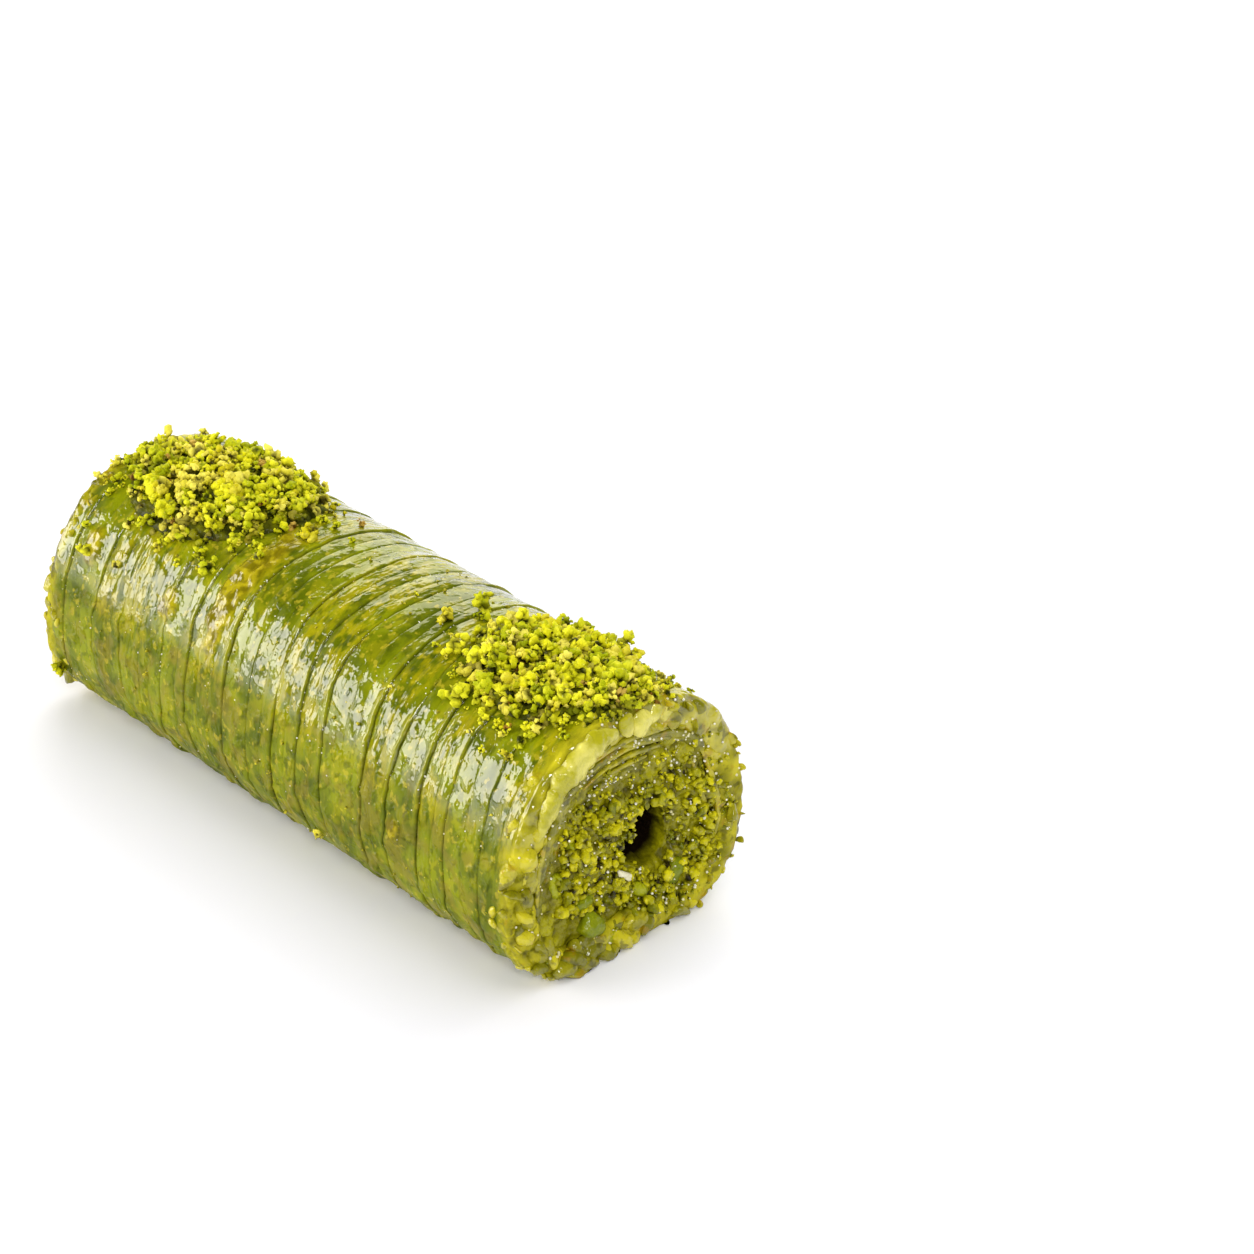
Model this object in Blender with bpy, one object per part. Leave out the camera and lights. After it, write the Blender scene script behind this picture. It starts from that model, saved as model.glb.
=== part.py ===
"""Pistachio wrap baklava: one roll of thin green pastry wound round ground pistachio filling.

The roll lies along X on its flattened underside, and the end that shows is at +X.
Lengths are in metres, and the origin is the middle of the flat underside.
The section is drawn with Y to the right and Z up, and its angle runs from +Y towards +Z.
"""
import math
import random

import bmesh
import bpy
from mathutils import Vector, geometry, noise

MM = 0.001

# Driving sizes of the roll: the pleats' widths run from the far end and add up to its length
PLEAT_WIDTHS = [w * MM for w in
                (2.4, 4.1, 4.5, 5.9, 3.9, 5.2, 3.4, 3.3, 3.6, 3.3, 5.4, 3.5, 3.8, 3.7, 4.6, 4.4)]
ROLL_LENGTH = sum(PLEAT_WIDTHS)
ROLL_RADIUS = 12.7 * MM
AXIS_HEIGHT = 10.65 * MM
SECTION_OVAL = 0.064
SECTION_SAG = 0.052
SECTION_SHOULDERS = 0.037

# Relief of the outer pastry: a lip at the near edge of each pleat, then a crease
CREASE_DEPTH = 0.42 * MM
LIP_HEIGHT = 0.16 * MM
CREASE_WANDER = 0.35 * MM
PLEAT_STEPS = ((0.0, -CREASE_DEPTH), (0.22, 0.0), (0.8, LIP_HEIGHT))
RIM_ROUNDING = 1.1 * MM
AROUND = 42

# The wound pastry: a closed outer wall, and a sheet that leaves it and winds inwards.
# The winding is given as pairs of a turn in degrees and the depth of the sheet's outer side.
WALL = 2.3 * MM
SHEET = 1.4 * MM
WINDING_START = math.radians(35)
WINDING = ((0, 2.3), (40, 2.95), (140, 3.55), (235, 3.5), (325, 4.5), (415, 5.6), (480, 6.2))
WINDING_STEP = math.radians(10)
WALL_THICKENS_AT = math.radians(290)
PIECE_GAP = 0.3 * MM

# The hole that the rolling rod leaves along the middle, with a notch on one side
HOLE_CENTRE = (2.8 * MM, -1.5 * MM)
HOLE_RADIUS = 2.7 * MM
HOLE_OVAL = 0.16
HOLE_OVAL_TILT = math.radians(100)
HOLE_NOTCH = 1.5 * MM
HOLE_NOTCH_ANGLE = math.radians(205)
HOLE_NOTCH_WIDTH = math.radians(20)
HOLE_MIDDLE_SHARE = 0.62
HOLE_WANDER = 0.7 * MM
HOLE_POINTS = 18
HOLE_STATIONS = 9

# The cut ends: how far the inner layers lie back, and how high the lumps of nut stand
END_RECESS = 1.0 * MM
FILLING_RECESS = 0.9 * MM
MOUTH_RECESS = 0.5 * MM
RIM_LIP = 0.6 * MM
RIM_LIP_ANGLE = math.radians(112)
RIM_LIP_WIDTH = math.radians(42)
WALL_LUMP = 0.35 * MM
NUT_LUMP = 0.6 * MM
WALL_LUMP_SIZE = 1.6 * MM
NUT_LUMP_SIZE = 1.9 * MM
WALL_GRID = 1.6 * MM
NUT_GRID = 1.25 * MM
GRID_CLEARANCE = 0.45 * MM

# Two heaps of ground pistachio on the top: middle along X and round the roll, and half sizes
HEAPS = (
    {"along": -20.6 * MM, "round": math.radians(97), "long": 10.2 * MM, "wide": 8.0 * MM},
    {"along": 23.6 * MM, "round": math.radians(94), "long": 9.3 * MM, "wide": 7.6 * MM},
)
HEAP_HEIGHT = 0.95 * MM
HEAP_BUMP = 0.5 * MM
HEAP_BUMP_SIZE = 1.7 * MM
CRUMBS_PER_HEAP = 62
CRUMB_RADII = (0.6 * MM, 1.0 * MM)
CRUMB_ROUGHNESS = 0.15
STRAY_CRUMBS = 9
STRAY_REACH = (1.08, 1.45)
GOLDEN_ANGLE = math.radians(137.5)
RANDOM_SEED = 11

COLOURS = {
    "pastry_wrap": ((0.21, 0.26, 0.016, 1.0), 0.18),
    "pistachio_filling": ((0.24, 0.26, 0.012, 1.0), 0.45),
}


def clear_scene():
    for obj in list(bpy.data.objects):
        bpy.data.objects.remove(obj, do_unlink=True)


def section_radius(angle):
    """The squashed section: wider than high, sagging onto its foot, with full shoulders."""
    oval = SECTION_OVAL * math.cos(2 * angle)
    sag = SECTION_SAG * math.sin(3 * angle)
    shoulders = SECTION_SHOULDERS * math.cos(4 * angle)
    return ROLL_RADIUS * (1 + oval - sag - shoulders)


def on_section(angle, depth):
    """The (y, z) point at this angle that lies a depth inside the outer contour."""
    radius = section_radius(angle) - depth
    return radius * math.cos(angle), AXIS_HEIGHT + radius * math.sin(angle)


def smooth_step(value):
    share = min(1.0, max(0.0, value))
    return share * share * (3 - 2 * share)


def lumps(x, y, z, size):
    """Rounded lumps of about this size: smooth noise, with its dips made shallow."""
    value = noise.noise(Vector((x, y, z)) / size)
    return max(value, 0.3 * value) * 2


def heap_share(heap, x, angle):
    """How far the point is from a heap's middle: 0 in the middle and 1 at its edge."""
    along = (x - heap["along"]) / heap["long"]
    across = (angle - heap["round"]) * ROLL_RADIUS / heap["wide"]
    return math.hypot(along, across)


def heap_rise(x, angle):
    """Height of the packed core of the heaps, with bumps of a crumb's size."""
    rise = 0.0
    for heap in HEAPS:
        share = heap_share(heap, x, angle)
        if share < 1:
            bumps = HEAP_BUMP * noise.noise(Vector((x, angle * ROLL_RADIUS, 0)) / HEAP_BUMP_SIZE)
            rise += HEAP_HEIGHT * math.sqrt(1 - share ** 2) + bumps * (1 - share ** 4)
    return rise


def outer_stations():
    """Places along the roll where its outer wall is drawn, each with its height of relief."""
    stations = []
    start = -ROLL_LENGTH / 2
    for width in PLEAT_WIDTHS:
        stations += [(start + share * width, height) for share, height in PLEAT_STEPS]
        start += width
    inner = stations[1:]
    edge = ROLL_LENGTH / 2
    return [(-edge, -RIM_ROUNDING), (-edge + 0.5 * MM, -0.25 * RIM_ROUNDING)] + inner + [
        (edge - 0.5 * MM, -0.25 * RIM_ROUNDING),
        (edge, -RIM_ROUNDING),
    ]


def outer_point(x, height, angle):
    """A point of the outer wall. Relief fades out on the flat underside, where z is 0."""
    foot = smooth_step((-math.sin(angle) - 0.62) / 0.25)
    end_share = smooth_step((ROLL_LENGTH / 2 - abs(x)) / (3 * MM))
    wander = CREASE_WANDER * noise.noise(Vector((x * 150, 2 * math.cos(angle), 2 * math.sin(angle))))
    rise = height * (1 - foot) + heap_rise(x, angle) * smooth_step((ROLL_LENGTH / 2 - abs(x)) / MM)
    y, z = on_section(angle, -rise)
    return Vector((x + wander * end_share * 2, y, max(z, 0.0)))


def outer_rings():
    rings = []
    for x, height in outer_stations():
        angles = (2 * math.pi * i / AROUND for i in range(AROUND))
        rings.append([outer_point(x, height, angle) for angle in angles])
    return rings


def sheet_depth(turn):
    """Depth of the wound sheet's outer side, this far along its winding from the wall."""
    degrees = math.degrees(turn)
    for (t0, d0), (t1, d1) in zip(WINDING, WINDING[1:]):
        if degrees <= t1 + 0.01:
            return (d0 + (d1 - d0) * (degrees - t0) / (t1 - t0)) * MM
    return WINDING[-1][1] * MM


def wall_depth(turn):
    """Thickness of the closed wall, which swells to take in the sheet where that leaves it."""
    swell = (turn - WALL_THICKENS_AT) / (2 * math.pi - WALL_THICKENS_AT)
    return WALL + SHEET * smooth_step(swell)


def steps(start, end):
    count = max(1, round(abs(end - start) / WINDING_STEP))
    return [start + (end - start) * i / count for i in range(count + 1)]


def room_outline(gap):
    """The (y, z) outline of the room inside the wound pastry, drawn in by a gap.

    It runs once round the closed wall, on along the sheet's inner side to its end, and back
    along the sheet's outer side to the wedge between sheet and wall.
    """
    end = math.radians(WINDING[-1][0])
    tip = next(t for t in steps(0, math.pi) if sheet_depth(t) - WALL > 2.2 * gap + 0.12 * MM)
    wall = [(t, wall_depth(t) + gap) for t in steps(tip, 2 * math.pi)[:-1]]
    inner = [(t, sheet_depth(t) + SHEET + gap) for t in steps(0, end)]
    cap_turn = end + (gap + 0.3 * SHEET) / (0.5 * ROLL_RADIUS)
    cap = [(cap_turn, sheet_depth(end) + SHEET / 2)]
    outer = [(t, sheet_depth(t) - gap) for t in steps(end, tip)]
    return [on_section(WINDING_START + t, depth) for t, depth in wall + inner + cap + outer]


def hole_point(angle, share):
    """Outline of the hole, at a share of the way along the roll: narrower and off line inside."""
    inside = math.sin(math.pi * share)
    oval = 1 + HOLE_OVAL * math.cos(2 * (angle - HOLE_OVAL_TILT))
    off_notch = math.remainder(angle - HOLE_NOTCH_ANGLE, 2 * math.pi) / HOLE_NOTCH_WIDTH
    radius = HOLE_RADIUS * oval * (1 - (1 - HOLE_MIDDLE_SHARE) * inside)
    radius += HOLE_NOTCH * math.exp(-off_notch ** 2) * (1 - inside)
    shift = HOLE_WANDER * inside
    y = HOLE_CENTRE[0] + shift
    z = AXIS_HEIGHT + HOLE_CENTRE[1] + shift * math.sin(2 * math.pi * share)
    return y + radius * math.cos(angle), z + radius * math.sin(angle)


def hole_ring(share):
    return [hole_point(2 * math.pi * i / HOLE_POINTS, share) for i in range(HOLE_POINTS)]


def inside(point, outline):
    """True if the (y, z) point lies inside the closed outline."""
    y, z = point
    odd = False
    for (y0, z0), (y1, z1) in zip(outline, outline[1:] + outline[:1]):
        if (z0 > z) != (z1 > z) and y < y0 + (z - z0) * (y1 - y0) / (z1 - z0):
            odd = not odd
    return odd


def far_from(point, outline, distance):
    """True if the point is further than this from every side of the outline."""
    place = Vector(point)
    for a, b in zip(outline, outline[1:] + outline[:1]):
        nearest, share = geometry.intersect_point_line(place, Vector(a), Vector(b))
        nearest = Vector(a).lerp(Vector(b), min(1.0, max(0.0, share)))
        if (place - nearest).length < distance:
            return False
    return True


def scattered(outline, holes, spacing, draw):
    """Points spread over the section between the outline and its holes, on a shaken grid."""
    found = []
    count = int(1.2 * ROLL_RADIUS / spacing)
    for i in range(-count, count + 1):
        for j in range(-count, count + 1):
            y = (i + 0.5 * (j % 2) + draw.uniform(-0.2, 0.2)) * spacing
            z = AXIS_HEIGHT + (j * 0.88 + draw.uniform(-0.2, 0.2)) * spacing
            if not inside((y, z), outline) or any(inside((y, z), hole) for hole in holes):
                continue
            if all(far_from((y, z), loop, GRID_CLEARANCE) for loop in [outline, *holes]):
                found.append((y, z))
    return found


def cap_triangles(loops, points):
    """Triangles that fill the section between its loops, the first of which is the outer one.

    The indices count through the loops in turn, then through the points.
    """
    places = [Vector(p) for loop in loops for p in loop] + [Vector(p) for p in points]
    sides = []
    first = 0
    for loop in loops:
        count = len(loop)
        sides += [(first + i, first + (i + 1) % count) for i in range(count)]
        first += count
    made = geometry.delaunay_2d_cdt(places, sides, [], 0, 1e-9)
    number = [origins[0] for origins in made[3]]
    triangles = []
    for face in made[2]:
        middle = sum((made[0][i] for i in face), Vector((0, 0))) / 3
        if inside(middle, loops[0]) and not any(inside(middle, hole) for hole in loops[1:]):
            triangles.append([number[i] for i in face])
    return triangles


def add_walls(mesh, rings, outwards):
    """Joins rings of vertices that follow each other along X with square faces."""
    for back, front in zip(rings, rings[1:]):
        count = len(back)
        for i in range(count):
            j = (i + 1) % count
            corners = (back[i], back[j], front[j], front[i])
            mesh.faces.new(corners if outwards else corners[::-1])


def lofted_mesh(outer, holes, grid, end_shape, draw):
    """A closed body from rings along X: an outer wall, walls round its holes, and two rough ends.

    end_shape moves a point of an end along X, and the scattered points carry its relief.
    """
    mesh = bmesh.new()
    bodies = [outer, *holes]
    made = [[[mesh.verts.new(p) for p in ring] for ring in rings] for rings in bodies]
    for number, rings in enumerate(made):
        add_walls(mesh, rings, outwards=number == 0)
    for end, facing in ((0, -1), (-1, 1)):
        loops = [[(v.co.y, v.co.z) for v in rings[end]] for rings in made]
        points = scattered(loops[0], loops[1:], grid, draw)
        verts = [v for rings in made for v in rings[end]]
        verts += [mesh.verts.new(end_shape(facing, y, z)) for y, z in points]
        for triangle in cap_triangles(loops, points):
            corners = [verts[i] for i in triangle]
            mesh.faces.new(corners if facing > 0 else corners[::-1])
    bmesh.ops.triangulate(mesh, faces=mesh.faces[:])
    bmesh.ops.recalc_face_normals(mesh, faces=mesh.faces[:])
    return mesh


def contour_depth(y, z):
    """How deep a point of an end lies inside the outer contour."""
    angle = math.atan2(z - AXIS_HEIGHT, y)
    return section_radius(angle) - math.hypot(y, z - AXIS_HEIGHT)


def wrap_end(facing, y, z):
    """The pastry's cut end: a raised, lumpy rim, with the wound sheet lying further back."""
    inwards = smooth_step((contour_depth(y, z) - 0.8 * WALL) / (1.2 * WALL))
    off_lip = (math.atan2(z - AXIS_HEIGHT, y) - RIM_LIP_ANGLE) / RIM_LIP_WIDTH
    lip = RIM_LIP * math.exp(-off_lip ** 2) * (1 - inwards) if facing > 0 else 0.0
    lump = WALL_LUMP * lumps(facing, y, z, WALL_LUMP_SIZE)
    return Vector((facing * (ROLL_LENGTH / 2 + lip + lump - END_RECESS * inwards), y, z))


def filling_end(facing, y, z):
    """The filling's rough end: lumps of nut, sinking towards the hole."""
    to_hole = math.hypot(y - HOLE_CENTRE[0], z - AXIS_HEIGHT - HOLE_CENTRE[1]) - HOLE_RADIUS
    mouth = MOUTH_RECESS * (1 - smooth_step(to_hole / (3 * MM)))
    lump = NUT_LUMP * lumps(facing * 7, y, z, NUT_LUMP_SIZE)
    return Vector((facing * (ROLL_LENGTH / 2 - FILLING_RECESS - mouth + lump), y, z))


def straight_rings(outline, end_shape, stations):
    """Rings of one outline along the roll, whose first and last lie on the rough ends."""
    rings = [[end_shape(-1, y, z) for y, z in outline]]
    for i in range(1, stations):
        share = i / stations
        rings.append([rings[0][k].lerp(end_shape(1, y, z), share) for k, (y, z) in enumerate(outline)])
    return rings + [[end_shape(1, y, z) for y, z in outline]]


def finished_object(name, mesh):
    """Makes the mesh an object with the colour and gloss of its piece."""
    colour, roughness = COLOURS[name]
    data = bpy.data.meshes.new(name)
    mesh.to_mesh(data)
    mesh.free()
    material = bpy.data.materials.new(name)
    material.use_nodes = True
    shader = material.node_tree.nodes["Principled BSDF"]
    shader.inputs["Base Color"].default_value = colour
    shader.inputs["Roughness"].default_value = roughness
    shader.inputs["Metallic"].default_value = 0.0
    data.materials.append(material)
    obj = bpy.data.objects.new(name, data)
    bpy.context.scene.collection.objects.link(obj)
    return obj


def make_filling(draw):
    outline = room_outline(PIECE_GAP)
    outer = straight_rings(outline, filling_end, 3)
    hole = []
    for i in range(HOLE_STATIONS):
        share = i / (HOLE_STATIONS - 1)
        ring = []
        for y, z in hole_ring(share):
            far = filling_end(-1, y, z)
            ring.append(far.lerp(filling_end(1, y, z), share))
        hole.append(ring)
    mesh = lofted_mesh(outer, [hole], NUT_GRID, filling_end, draw)
    return finished_object("pistachio_filling", mesh)


def make_wrap(draw):
    room = straight_rings(room_outline(0.0), wrap_end, 3)
    mesh = lofted_mesh(outer_rings(), [room], WALL_GRID, wrap_end, draw)
    return finished_object("pastry_wrap", mesh)


def crumb_places(draw):
    """Where the larger crumbs lie, as (x, angle): even over each heap, and a few strays beside it."""
    places = []
    for heap in HEAPS:
        for i in range(CRUMBS_PER_HEAP + STRAY_CRUMBS):
            share = math.sqrt((i + 0.5) / CRUMBS_PER_HEAP)
            if i >= CRUMBS_PER_HEAP:
                share = draw.uniform(*STRAY_REACH)
            turn = i * GOLDEN_ANGLE + draw.uniform(-0.1, 0.1)
            x = heap["along"] + share * heap["long"] * math.cos(turn)
            angle = heap["round"] + share * heap["wide"] * math.sin(turn) / ROLL_RADIUS
            if abs(x) < ROLL_LENGTH / 2 - CRUMB_RADII[1]:
                places.append((x, angle))
    return places


def make_crumb(x, angle, draw, collection):
    """One rough crumb of ground pistachio, sunk a little into what it lies on."""
    radius = draw.uniform(*CRUMB_RADII)
    y, z = on_section(angle, -heap_rise(x, angle) - 0.35 * radius)
    mesh = bmesh.new()
    bmesh.ops.create_icosphere(mesh, subdivisions=1, radius=radius)
    for vert in mesh.verts:
        vert.co *= 1 + draw.uniform(-CRUMB_ROUGHNESS, CRUMB_ROUGHNESS)
        vert.co += Vector((x, y, z))
    data = bpy.data.meshes.new("crumb")
    mesh.to_mesh(data)
    mesh.free()
    collection.objects.link(bpy.data.objects.new("crumb", data))


def keep_largest_shell(obj):
    """Drops loose scraps, and the inner shells of hollows that the fusing has sealed."""
    mesh = bmesh.new()
    mesh.from_mesh(obj.data)
    left = set(mesh.verts)
    shells = []
    while left:
        reached = [left.pop()]
        shell = set(reached)
        while reached:
            for edge in reached.pop().link_edges:
                for vert in edge.verts:
                    if vert not in shell:
                        shell.add(vert)
                        reached.append(vert)
        left -= shell
        shells.append(shell)
    largest = max(shells, key=len)
    loose = [vert for shell in shells if shell is not largest for vert in shell]
    bmesh.ops.delete(mesh, geom=loose, context="VERTS")
    mesh.to_mesh(obj.data)
    mesh.free()


def fuse_crumbs(wrap, draw):
    """Joins the crumbs to the pastry that they lie on, with one union, and removes their objects."""
    collection = bpy.data.collections.new("crumbs")
    bpy.context.scene.collection.children.link(collection)
    for x, angle in crumb_places(draw):
        make_crumb(x, angle, draw, collection)
    union = wrap.modifiers.new("crumbs", "BOOLEAN")
    union.operation = "UNION"
    union.operand_type = "COLLECTION"
    union.collection = collection
    union.solver = "MANIFOLD"
    bpy.context.view_layer.update()
    graph = bpy.context.evaluated_depsgraph_get()
    fused = bpy.data.meshes.new_from_object(wrap.evaluated_get(graph))
    wrap.modifiers.clear()
    wrap.data = fused
    for crumb in list(collection.objects):
        bpy.data.objects.remove(crumb, do_unlink=True)
    bpy.data.collections.remove(collection)
    keep_largest_shell(wrap)


def main():
    clear_scene()
    draw = random.Random(RANDOM_SEED)
    make_filling(draw)
    wrap = make_wrap(draw)
    fuse_crumbs(wrap, draw)
    for obj in bpy.context.scene.objects:
        obj.data.shade_smooth()
        obj.data.set_sharp_from_angle(angle=math.radians(40))


main()
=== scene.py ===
# %% [markdown]
# # A pistachio wrap baklava
# Dough as thin as paper is covered with ground pistachio and rolled up round a thin rod. The roll
# is pushed together along the rod, so that its skin pleats. The rod comes out, and the roll is
# baked, soaked in syrup, and strewn with more ground pistachio.
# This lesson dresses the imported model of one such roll. The model's two solids have the right
# form but few faces, so each one is replaced by finer pieces, worked out with numpy.

import itertools
import math

import bmesh
import bpy
import numpy as np
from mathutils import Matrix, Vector


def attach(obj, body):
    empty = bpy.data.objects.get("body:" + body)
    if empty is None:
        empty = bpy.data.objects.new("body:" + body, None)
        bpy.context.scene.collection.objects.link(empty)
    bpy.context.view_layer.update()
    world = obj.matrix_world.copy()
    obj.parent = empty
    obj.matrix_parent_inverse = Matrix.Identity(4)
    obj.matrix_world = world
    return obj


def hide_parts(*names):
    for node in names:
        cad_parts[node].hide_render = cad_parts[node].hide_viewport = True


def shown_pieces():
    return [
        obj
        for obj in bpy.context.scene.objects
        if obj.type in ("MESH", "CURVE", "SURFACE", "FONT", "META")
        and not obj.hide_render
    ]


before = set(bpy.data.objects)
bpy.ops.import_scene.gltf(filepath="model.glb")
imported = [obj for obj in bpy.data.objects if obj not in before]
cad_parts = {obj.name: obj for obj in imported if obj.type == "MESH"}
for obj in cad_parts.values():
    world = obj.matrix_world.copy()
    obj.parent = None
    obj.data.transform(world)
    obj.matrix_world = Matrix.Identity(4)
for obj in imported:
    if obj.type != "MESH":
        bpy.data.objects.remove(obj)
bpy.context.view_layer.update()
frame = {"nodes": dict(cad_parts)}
MM = 0.001
print("solids to dress:", ", ".join(frame["nodes"]))

# %% [markdown]
# ## The shape of a slice
# A soft roll sags on the tray: it is wider than high, its foot is flat and its shoulders are full.
# A circle or an ellipse would look too stiff. A circle whose radius swings a few percent with two,
# three and four waves a turn gives the sag, and one short formula then places every piece.

# %% The section of the roll, and places on it
HALF_LENGTH = 32.5 * MM
ROLL_RADIUS = 12.7 * MM
AXIS_HEIGHT = 10.65 * MM
WALL = 2.3 * MM


def section_radius(angle):
    """Radius of the slice: a circle with an oval of two waves, a sag of three and shoulders of four."""
    oval = 0.064 * np.cos(2 * angle)
    sag = 0.052 * np.sin(3 * angle)
    shoulders = 0.037 * np.cos(4 * angle)
    return ROLL_RADIUS * (1 + oval - sag - shoulders)


def on_roll(x, angle, depth):
    """The place this far along the roll and round it, a depth inside its contour, never under 0."""
    radius = section_radius(angle) - depth
    y = radius * np.cos(angle)
    z = np.maximum(AXIS_HEIGHT + radius * np.sin(angle), 0.0)
    return np.stack(np.broadcast_arrays(x, y, z), -1)


def contour_depth(places):
    """How deep places lie inside the contour, measured towards the middle of the slice."""
    y, z = places[..., 1], places[..., 2] - AXIS_HEIGHT
    return section_radius(np.arctan2(z, y)) - np.hypot(y, z)


def smooth_step(value):
    """An S-shaped rise from 0 to 1: three squares less two cubes of the value."""
    share = np.clip(value, 0, 1)
    return share * share * (3 - 2 * share)


width = 2 * section_radius(0) / MM
print(f"slice {width:.1f} mm wide, {AXIS_HEIGHT / MM + section_radius(math.pi / 2) / MM:.1f} mm high")

# %% [markdown]
# ## Unevenness that can be repeated
# Nothing on food is even. Two kinds of noise do most of the work here. Smooth noise gives slow
# dents and wandering lines. Lumps give packed nuts and puckered dough. Both are worked out for a
# whole array of places at once, and a seed makes them come out the same in every run.

# %% Smooth noise
def random_of(cells, seed):
    """A number from 0 to 1 for each cell of a grid: its counts times large odd numbers, mixed up."""
    mixed = (cells * np.array((374761393, 668265263, 1274126177))).sum(-1) + seed * 362437
    mixed &= 0xFFFFFFFF
    mixed = ((mixed ^ (mixed >> 13)) * 1103515245) & 0xFFFFFFFF
    return ((mixed ^ (mixed >> 16)) & 0xFFFF) / 65535


def smooth_noise(places, size, seed=0):
    """Slow noise from -1 to 1: random heights at a grid's corners, blended by S-shaped weights."""
    scaled = places / np.asarray(size)
    cells = np.floor(scaled).astype(np.int64)
    blend = smooth_step(scaled - cells)
    total = 0.0
    for corner in itertools.product((0, 1), repeat=3):
        weight = np.where(corner, blend, 1 - blend).prod(-1)
        total = total + weight * random_of(cells + corner, seed)
    return 2 * total - 1


def noise_round(along, angle, waves, seed):
    """Smooth noise that closes on itself round the roll: angles become places on a circle."""
    places = np.broadcast_arrays(along, waves * np.cos(angle), waves * np.sin(angle))
    return smooth_noise(np.stack(places, -1), 1.0, seed)


# %% Lumps
def lumps(places, size, seed=0):
    """Rounded lumps, one to a cell: 1 less the squared distance to the nearest random middle.

    The second array is a random tone for each lump, from 0 to 1.
    """
    scaled = places / np.asarray(size)
    cells = np.floor(scaled).astype(np.int64)
    nearest = np.full(scaled.shape[:-1], 9.0)
    tone = np.zeros(scaled.shape[:-1])
    for step in itertools.product((-1, 0, 1), repeat=3):
        near = cells + step
        shake = np.stack([random_of(near, seed + k) for k in (1, 2, 3)], -1)
        gap = ((scaled - near - 0.1 - 0.8 * shake) ** 2).sum(-1)
        tone = np.where(gap < nearest, random_of(near, seed + 4), tone)
        nearest = np.minimum(gap, nearest)
    return np.clip(1 - nearest, 0, 1), tone


test = np.random.default_rng(1).uniform(0, 1, (5000, 3))
print(f"noise spread {smooth_noise(test, 0.1).std():.2f}, mean lump {lumps(test, 0.1)[0].mean():.2f}")

# %% [markdown]
# ## From a grid of places to a piece
# Most pieces here are a grid that is closed both ways, like the skin of a ring: one way runs round
# the roll, and the other follows a profile out along the surface and back inside. Such a skin has
# no loose edge. Its volume says whether the faces point outwards.

# %% Making pieces
def ring_faces(rows, columns, closed_rows=True):
    """Four-sided faces between neighbours of a grid that closes on itself, numbered row by row."""
    row = np.arange(rows if closed_rows else rows - 1)[:, None]
    column = np.arange(columns)[None, :]
    ahead = (row + 1) % rows
    beside = (column + 1) % columns
    corners = (row * columns + column, row * columns + beside,
               ahead * columns + beside, ahead * columns + column)
    return np.stack(corners, -1).reshape(-1, 4)


def volume_inside(places, faces):
    """Signed volume: a third of the sum of each face's middle dotted with its area vector."""
    a, b, c, d = (places[faces[:, k]] for k in range(4))
    return (np.cross(c - a, d - b) * (a + b + c + d)).sum() / 24


def add_to_scene(name, data):
    """Makes an object of a mesh, a light or a camera, at the origin and unturned."""
    thing = bpy.data.objects.new(name, data)
    bpy.context.scene.collection.objects.link(thing)
    return thing


def add_piece(name, places, faces, slot, **marks):
    """Makes a mesh object whose faces point outwards, with a named number on each corner point."""
    places = places.reshape(-1, 3)
    if volume_inside(places, faces) < 0:
        faces = faces[:, ::-1]
    data = bpy.data.meshes.new(name)
    data.from_pydata(places, [], faces)
    for mark, values in marks.items():
        numbers = data.attributes.new(mark, "FLOAT", "POINT")
        numbers.data.foreach_set("value", np.asarray(values, np.float32).ravel())
    data.shade_smooth()
    piece = add_to_scene(name, data)
    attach(piece, "root")
    print(f"{name}: {len(places)} points, {2 * len(faces)} triangles")
    return piece


# %% [markdown]
# ## The pleated skin
# The crease lines of the skin run round the roll. Deep ones end in a raised lip, where the dough
# has doubled up, and fine ones lie between them. Bump alone would leave the outline smooth, so the
# pleats are real relief. The rows of the grid follow the creases: they crowd at each crease and
# spread out between, so a sharp fold costs few faces.

# %% Where the creases run
CREASES = np.array((
    (2.4, 0.5), (4.6, 0.1), (6.9, 0.4), (9.6, 0.1), (11.0, 0.5), (12.4, 0.12), (13.8, 0.16),
    (15.1, 0.12), (16.7, 0.7), (19.0, 0.14), (20.7, 0.65), (22.5, 0.14), (24.1, 0.08), (26.0, 1.0),
    (27.8, 0.1), (29.3, 0.35), (31.0, 0.08), (32.6, 1.0), (34.6, 0.12), (36.3, 0.7), (37.9, 0.08),
    (39.5, 0.9), (42.1, 0.14), (43.6, 0.08), (45.0, 1.0), (46.6, 0.14), (48.5, 0.95), (50.4, 0.08),
    (52.3, 1.0), (54.2, 0.2), (56.0, 0.95), (58.4, 0.12), (60.6, 0.6), (62.8, 0.2)))
SKIN_AROUND = 200
SKIN_END = HALF_LENGTH - 0.8 * MM
CREASE_LEAN = 1.2 * MM
CREASE_WANDER = 0.6 * MM
CREASE_SHAKE = 0.12 * MM
skin_angles = np.arange(SKIN_AROUND) * 2 * math.pi / SKIN_AROUND


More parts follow.
